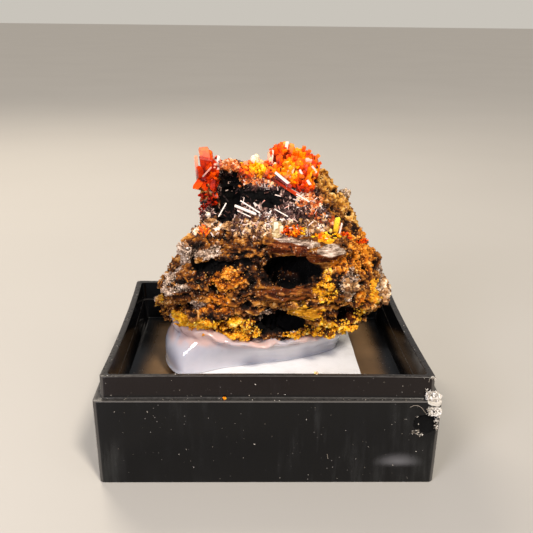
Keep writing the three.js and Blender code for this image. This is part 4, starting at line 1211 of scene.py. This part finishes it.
def near_scars(bench, at):
    """1 in and beside the broken places, 0 elsewhere."""
    best = None
    for middle, half, _, white in SCARS:
        if white:
            inside = bench.away(at, middle, tuple(h + 0.2 for h in half)).between(1.15, 0.75) * white
            best = inside if best is None else best.most(inside)
    return best


def black_plastic(bench):
    """Glossy moulded plastic: dusty, paler at its edges from wear and painted highlights, whitened where it
    is broken.
    """
    at = bench.place()
    where = bench.node("ShaderNodeSeparateXYZ", {}, {"Vector": at})
    x, y, z = where.out("X"), where.out("Y"), where.out("Z")
    far, least = x.size().most(y.size()), x.size().least(y.size())
    scar = near_scars(bench, at)
    smear = bench.cloud(bench.place((0.8, 0.8, 0.1)), 1.0, 4.0, 0.6)
    fog = bench.cloud(at, 6.0, 4.0, 0.65)
    grit = bench.cloud(at, 0.4, 3.0, 0.7)
    dust = bench.cells(at, 0.55).between(0.13, 0.05) * bench.cloud(at, 3.0, 2.0).between(0.5, 0.66)
    # Brown over the middle of the cavity floor, fading towards the walls: partly a dusty film, partly a
    # painted pool of light.
    inner = z.between(FLOOR_Z - 0.1, FLOOR_Z + 0.05) * (1 - z.between(FLOOR_Z + 0.3, FLOOR_Z + 0.9))
    floor_film_and_light = (inner * far.between(14.0, 11.4) * (fog * 0.7 + 0.45)).between(0.0, 1.0)
    haze = smear.between(0.5, 0.75) * fog.between(0.4, 0.7) * far.between(14.9, 15.1)
    # The edges of the ledge, the rim and the corners are painted paler: partly wear, partly painted
    # highlights along the bevels.
    ledge = z.between(LEDGE_Z - 0.1, LEDGE_Z - 0.04) * z.between(LEDGE_Z + 0.2, LEDGE_Z + 0.1)
    edges = ledge * 0.45 + ledge * far.between(15.6, 15.8) * 0.6 + z.between(RIM_Z - 0.11, RIM_Z - 0.05) * 0.5
    wear_and_edge_highlight = edges * (grit * 0.9 + 0.4)
    # Painted highlight: a pale patch low on the front face where a dent catches the light.
    dent_highlight = bench.away(at, *DENT_HIGHLIGHT).between(1.15, 0.0) * z.between(1.5, 2.3)
    corner_wear_and_highlight = (least - z * DRAFT - FOOT / 2).between(-0.42, -0.28) * z.between(LEDGE_Z + 0.05, LEDGE_Z)
    corner_wear_and_highlight = corner_wear_and_highlight + (least - COLLAR / 2).between(-0.42, -0.28) * z.between(LEDGE_Z + 0.05, LEDGE_Z + 0.1)
    corner = far.between(15.3, 15.5) * least.between(13.2, 15.0) * z.between(5.2, 3.0)
    rubbed = corner * smear.between(0.35, 0.65)
    chalk = (scar + (grit - 0.5) * 1.1).between(0.45, 0.75)
    # Painted shade: the broken hollow is coloured near black inside.
    ragged = (grit - 0.5) * 0.5 + (bench.cloud(at, 0.9, 2.0) - 0.5) * 1.6
    hollow_shade = (bench.away(at, HOLLOW) + ragged).between(1.3, 1.1)
    hollow_shade = hollow_shade * y.between(-15.77, -15.7) * (1 - z.between(7.1, 7.3))
    colour = bench.coated(
        paint("#040405"),
        ("#0e0e11", smear.between(0.45, 0.8) * 0.5),
        ("#4b4c4a", haze * 0.18 + rubbed * 0.3),
        # Painted light: a brown glow on the collar's outer faces, where light comes through the plastic.
        ("#1d1310", z.between(LEDGE_Z + 0.15, LEDGE_Z + 0.4) * far.between(14.8, 14.9) * 0.45),
        ("#8a6a45", floor_film_and_light * 0.85),
        ("#8d8882", dust * 0.6),
        ("#6f6b66", wear_and_edge_highlight.between(0.05, 0.9) * 0.6 + corner_wear_and_highlight * 0.4),
        ("#8e8d90", dent_highlight * 0.42),
        ("#d9d3c8", chalk * 0.85),
        ("#010101", hollow_shade),
    )
    rough = 0.1 + haze * 0.2 + smear * 0.12 + fog.between(0.5, 0.8) * 0.1
    rough = rough + dust * 0.4 + chalk * 0.5 + floor_film_and_light * 0.3
    return {
        "Base Color": colour,
        "Roughness": (rough + wear_and_edge_highlight * 0.3 + dent_highlight * 0.3 + hollow_shade * 0.8).least(1.0),
        "IOR": 1.5,
        "Specular IOR Level": 0.25,
        "Normal": bench.relief(fog * 0.8 + chalk * bench.cloud(at, 0.1), 0.08, 0.25),
    }


# ---- pad and putty ----
PAD = (18.3, 18.4, 0.9)
PAD_X = 0.55  # the pad lies a little to the right
PAD_TOP = FLOOR_Z + PAD[2]

# The putty's foot on the pad and its lip round the rock, anticlockwise from the front left.
PUTTY_FOOT = [
    (-8.4, -5.7), (-6.4, -5.4), (-3.7, -3.9), (0.1, -2.5), (2.3, -1.9), (4.6, -0.8), (6.9, 0.9), (7.7, 2.6),
    (7.4, 5.2), (4.6, 6.9), (0.2, 7.4), (-4.8, 6.8), (-8.2, 4.8), (-9.9, 1.4), (-9.8, -2.6),
]
PUTTY_LIP = [
    (-8.1, -4.2), (-6.5, -5.4), (-3.8, -6), (-0.1, -5.9), (3, -5), (5.4, -3.8), (7.6, -2.2), (8, 0.9),
    (7.3, 4.2), (4.6, 5.6), (0.2, 6), (-4.6, 5.4), (-7.8, 3.8), (-9.2, 1), (-9.1, -2.2),
]
# Share of the way from foot to lip, swell, height over the pad.
PUTTY_RISE = [
    (0, 0.34, 0), (0, 0.3, 0.08), (0.02, 0.28, 0.25), (0.08, 0.36, 0.6), (0.2, 0.46, 1.05), (0.35, 0.5, 1.5),
    (0.52, 0.46, 1.9), (0.7, 0.34, 2.3), (0.82, 0.22, 2.6), (0.9, 0.16, 2.82), (0.95, 0.32, 3),
    (0.99, 0.44, 3.18), (1, 0.42, 3.34), (1, 0.24, 3.48), (1, -0.1, 3.54), (0.98, -0.7, 3.44),
    (0.9, -1.6, 3.3),
]
PUTTY_AROUND = 240
# How much higher or lower the front of the lip stands, from left to right.
LIP_X, LIP_RISE = (-9.5, -8, -5.6, -4.7, -3.6, -2, 0), (0, 0.35, 0.45, 0, -0.35, -0.3, 0)


def curved(a, b, c, d, f):
    """What lies at share f of the way from b to c on a smooth curve through all four."""
    return 0.5 * (2 * b + (c - a) * f + (2 * a - 5 * b + 4 * c - d) * f**2 + (3 * b - a - 3 * c + d) * f**3)


def closed_curve(points, count):
    """Evenly stepped points on a smooth closed curve through the given ones."""
    points = np.array(points, dtype=float)
    n = len(points)
    steps = (divmod(i / count * n, 1) for i in range(count))
    return np.array([curved(*(points[(int(k) + j) % n] for j in (-1, 0, 1, 2)), f) for k, f in steps])


def finer(rows, times):
    """Rows of numbers with smoothly curved ones put between them."""
    rows = np.array(rows, dtype=float)
    ends = np.vstack([2 * rows[0] - rows[1], rows, 2 * rows[-1] - rows[-2]])
    fours = (ends[k : k + 4] for k in range(len(rows) - 1))
    return [curved(*four, f) for four in fours for f in np.arange(times) / times] + [rows[-1]]


def make_putty(material):
    """The lump of putty, its foot spread on the pad and its lip lapping up round the rock."""
    foot, lip = closed_curve(PUTTY_FOOT, PUTTY_AROUND), closed_curve(PUTTY_LIP, PUTTY_AROUND)
    rings = []
    for share, swell, rise in finer(PUTTY_RISE, 3):
        flat = foot * (1 - share) + lip * share
        out = flat / np.linalg.norm(flat, axis=1)[:, None]
        level = np.column_stack([flat, np.full(PUTTY_AROUND, rise)])
        ripple = 0.1 * swirl(level, 2.6, 2) + 0.24 * swirl(level, 0.8, 3) * step(2.5, 3.0, rise)
        left = np.clip(-flat[:, 0] / 9, 0, 1)
        flat = flat + out * (swell * (1 + 0.4 * left) + ripple * (rise > 0))[:, None]
        edge = step(2.6, 3.3, rise)
        wave = 0.4 * swirl(np.column_stack([flat, 0 * left]), 1.3, 5) + 0.14 * swirl(level, 0.5, 6)
        wave = wave + np.interp(flat[:, 0], LIP_X, LIP_RISE) * step(0.0, -2.0, flat[:, 1])
        z = PAD_TOP + rise * (1 + 0.34 * left) + edge * wave
        rings.append([(x, y, h) for (x, y), h in zip(flat, z)])
    mesh = finished(loft("putty", rings, material))
    store(mesh, "lip", step(2.3, 3.2, points_of(mesh)[:, 2] / MM - PAD_TOP))
    return shown("mounting_putty", mesh, material, True)


def putty_white(bench):
    at = bench.place()
    lip = bench.own("lip")
    soft = bench.cloud(at, 2.2, 3.0, 0.5)
    dirt = bench.cells(at, 0.7).between(0.12, 0.06) * bench.cloud(at, 1.5, 2.0).between(0.5, 0.65)
    blush = lip * soft.between(0.25, 0.6) * 0.85
    colour = bench.coated(paint("#a8a8b4"), ("#cbc8ce", soft), ("#d3aea2", blush), ("#7a5a3a", dirt * 0.7))
    return {
        "Base Color": colour,
        "Roughness": 0.09 - lip * 0.02,
        "IOR": 1.45,
        "Subsurface Weight": 0.5,
        "Subsurface Radius": (0.0012, 0.0009, 0.0008),
        "Subsurface Scale": 1.0,
        "Coat Weight": 0.5,
        "Coat Roughness": 0.05,
        "Normal": bench.relief(bench.cloud(at, 0.9, 3.0, 0.5), 0.06, 0.15),
    }


def make_pad(material):
    """The pad of foam under the putty, a little uneven on top and at its sides."""
    work = bmesh.new()
    size = Vector(PAD)
    place = Matrix.LocRotScale(Vector((PAD_X, 0, FLOOR_Z + size.z / 2)), None, size)
    bmesh.ops.create_cube(work, size=1.0, matrix=place)
    bmesh.ops.subdivide_edges(work, edges=work.edges, cuts=23, use_grid_fill=True)
    for v in work.verts:
        top = v.co.z > FLOOR_Z + 0.5 * size.z
        v.co.z -= (0.05 + 0.04 * noise.noise(v.co * 0.35)) * top
        side = abs(v.co.x - PAD_X) > size.x * 0.499
        v.co.x += 0.05 * noise.noise(Vector((v.co.y * 0.4, v.co.z, 3.0))) * side
        v.co *= MM
    rough = shown("pad", mesh_from(work, "pad"), material)
    return shown("white_pad", bevelled(rough, 0.12, 40), material, True)


def foam_white(bench):
    at = bench.place()
    pores = bench.cells(at, 0.22)
    tone = bench.cloud(at, 2.5, 4.0, 0.6)
    # The pores are painted darker: painted shade in them.
    stain, dark = tone.between(0.4, 0.8) * 0.6, pores.between(0.12, 0.03) * 0.35
    colour = bench.coated(paint("#f3f2f1"), ("#dcd9d6", stain), ("#b5aca2", dark))
    return {"Base Color": colour, "Roughness": 0.75, "Normal": bench.relief(pores, 0.05, 0.4)}


# ---- chips over the rock ----
CHIP_FINISHES = {
    "golden grains": "0 #5c2c03, 0.2 #cc7807, 0.46 #ffb014, 0.78 #ffd440, 1 #fff2a4",
    "ochre grains": "0 #301204, 0.26 #934808, 0.52 #e68c14, 0.82 #ffba48, 1 #ffe4ac",
    "brown grains": "0 #120803, 0.35 #44220b, 0.62 #87501c, 0.85 #cf9350, 1 #ffe8c4",
    "grey crust": "0 #1c130d, 0.28 #6c5342, 0.52 #bd9e84, 0.8 #f0d8c2, 1 #ffffff",
    "slope flakes": "0 #080303, 0.38 #2c1412, 0.58 #704438, 0.74 #dcbaaa, 0.88 #fffaf4",
    "slope cream": "0 #241208, 0.36 #7a4c26, 0.58 #cc985e, 0.78 #f8dcb4, 0.95 #fffcf4",
    "orange grains": "0 #4a0e04, 0.35 #b44812, 0.58 #ec8838, 0.8 #fccea0, 1 #fff2e6",
}

# Piece, where it grows, chip, finish, slot, chips per square metre, shortest, longest, lean, lift.
GROWTH = [
    ("golden_grains", "on_gold", "crumb", "golden grains", "limonite", 4.2e7, 0.14, 0.42, 1.2, 0.0),
    ("ochre_grains", "on_ochre", "crumb", "ochre grains", "limonite", 4.0e7, 0.14, 0.42, 1.2, 0.0),
    ("brown_grains", "on_brown", "crumb", "brown grains", "limonite", 1.5e7, 0.14, 0.45, 1.2, 0.0),
    ("grey_grains", "on_grey", "crumb", "grey crust", "limonite", 4.5e7, 0.12, 0.36, 1.2, 0.0),
    ("slope_flakes", "on_slope", "flake", "slope flakes", "limonite", 7.5e7, 0.18, 0.62, 1.3, 0.04),
    ("slope_rods", "on_slope", "rod", "slope flakes", "limonite", 4.0e7, 0.35, 1.0, 1.1, 0.08),
    ("slope_cream", "on_low_slope", "block", "slope cream", "limonite", 9.0e7, 0.18, 0.62, 1.2, 0.02),
    ("ridge_grains", "on_ridge", "block", "orange grains", "crocoite_orange", 7.5e7, 0.14, 0.45, 1.2, 0.02),
]


def grow_chips(host):
    chips = {kind: chip(kind) for kind in CHIPS}
    finishes = {name: chip_finish(name, stops) for name, stops in CHIP_FINISHES.items()}
    for number, row in enumerate(GROWTH):
        name, mask, kind, finish, slot, *sizes, lift = row
        given = dict(zip(STREWN, (*sizes, lift * MM, SEED + 10 * number)))
        dressed(strewn(name, host, mask, chips[kind], finishes[finish], given), slot)
    for shape in chips.values():
        bpy.data.objects.remove(shape)


# ---- stage ----
CAMERA_AT = (-2.242, -91.787, 42.137)
CAMERA_TURN = (74.4251, -0.6213, -1.3048)  # degrees about X, Y and Z
SENSOR, LENS = 36.0, 61.54
# Name, kind, place, what it faces, its two sides or the angle of its disc, power, colour. The key is a sun,
# whose place does not matter.
LIGHTS = [
    ("key", "SUN", (0, 0, 0), (-0.4, 1.0, -1.05), 9, 2.85, "#fff4e6"),
    ("fill", "AREA", (-0.13, -0.24, 0.12), (0, 0, 0.02), (0.08, 0.06), 0.42, "#f4f2ff"),
    ("rim", "AREA", (-0.1, 0.18, 0.2), (0, 0, 0.02), (0.08, 0.08), 0.35, "#fff2e0"),
    ("strip", "AREA", (0.0, -0.3, 0.4), (0, 0, 0.01), (0.8, 0.06), 0.5, "#ffffff"),
]


def camera():
    lens = bpy.data.cameras.new("camera")
    lens.sensor_width, lens.lens = SENSOR, LENS
    lens.clip_start, lens.clip_end = 0.002, 20.0
    made = linked("camera", lens)
    made.location = Vector(CAMERA_AT) * MM
    made.rotation_euler = tuple(map(math.radians, CAMERA_TURN))
    bpy.context.scene.camera = made


def lamp(name, kind, at, aim, size, power, colour):
    light = bpy.data.lights.new(name, kind)
    light.energy, light.color = power, paint(colour)[:3]
    if kind == "SUN":
        light.angle = math.radians(size)
    else:
        light.shape = "RECTANGLE"
        light.size, light.size_y = size
    made = linked(name, light)
    made.location = at
    made.rotation_euler = (Vector(aim) - Vector(at)).to_track_quat("-Z", "Y").to_euler()


def pale_floor(bench):
    tone = bench.cloud(bench.place(), 60.0, 3.0, 0.5)
    colour = bench.blend(paint("#c6c2bb"), paint("#bebab3"), tone)
    return {"Base Color": colour, "Roughness": 0.55}


def studio():
    far = 3000
    corners = [(-far, -far, 0), (far, -far, 0), (far, far, 0), (-far, far, 0)]
    floor = piece("floor", corners, [[0, 1, 2, 3]], surface("pale floor", pale_floor))
    world = bpy.data.worlds.new("studio")
    world.use_nodes = True
    world.node_tree.nodes.clear()
    bench = Bench(world.node_tree)
    light = bench.node("ShaderNodeBackground", {}, {"Color": paint("#e9eaee"), "Strength": 0.23})
    seen = bench.node("ShaderNodeBackground", {}, {"Color": paint("#c9c4bb"), "Strength": 1.0})
    ray = bench.node("ShaderNodeLightPath", {}, {}, "Is Camera Ray")
    mixed = bench.node("ShaderNodeMixShader", {}, {0: ray, 1: light, 2: seen})
    bench.node("ShaderNodeOutputWorld", {}, {"Surface": mixed})
    bpy.context.scene.world = world
    for row in LIGHTS:
        lamp(*row)
    bpy.context.scene.view_settings.view_transform = "Standard"


# ---- assembly ----
camera()
studio()
rock_finish = surface("limonite", limonite)
crystal_finish = surface("crocoite", crocoite)
dressed(make_tray(surface("black plastic", black_plastic)), "black_plastic", "tray")
dressed(make_putty(surface("white putty", putty_white)), "putty", "putty")
dressed(make_pad(surface("white pad", foam_white)), "white_pad", "mount_pad")
rock = dressed(make_rock(rock_finish), "limonite", "matrix")
grow_chips(rock)
make_clusters(crystal_finish)
dressed(make_crystals("white_needles", needle_rows(), crystal_finish), "limonite")
chalky = surface("torn plastic", torn_white)
dressed(make_crystals("torn_plastic", torn_rows(), chalky, 5), "black_plastic")
dressed(make_crystals("dust_specks", dust_rows(), chalky, 4), "black_plastic")
dressed(make_crystals("fallen_crumbs", crumb_rows(), crystal_finish, 5), "crocoite_orange")
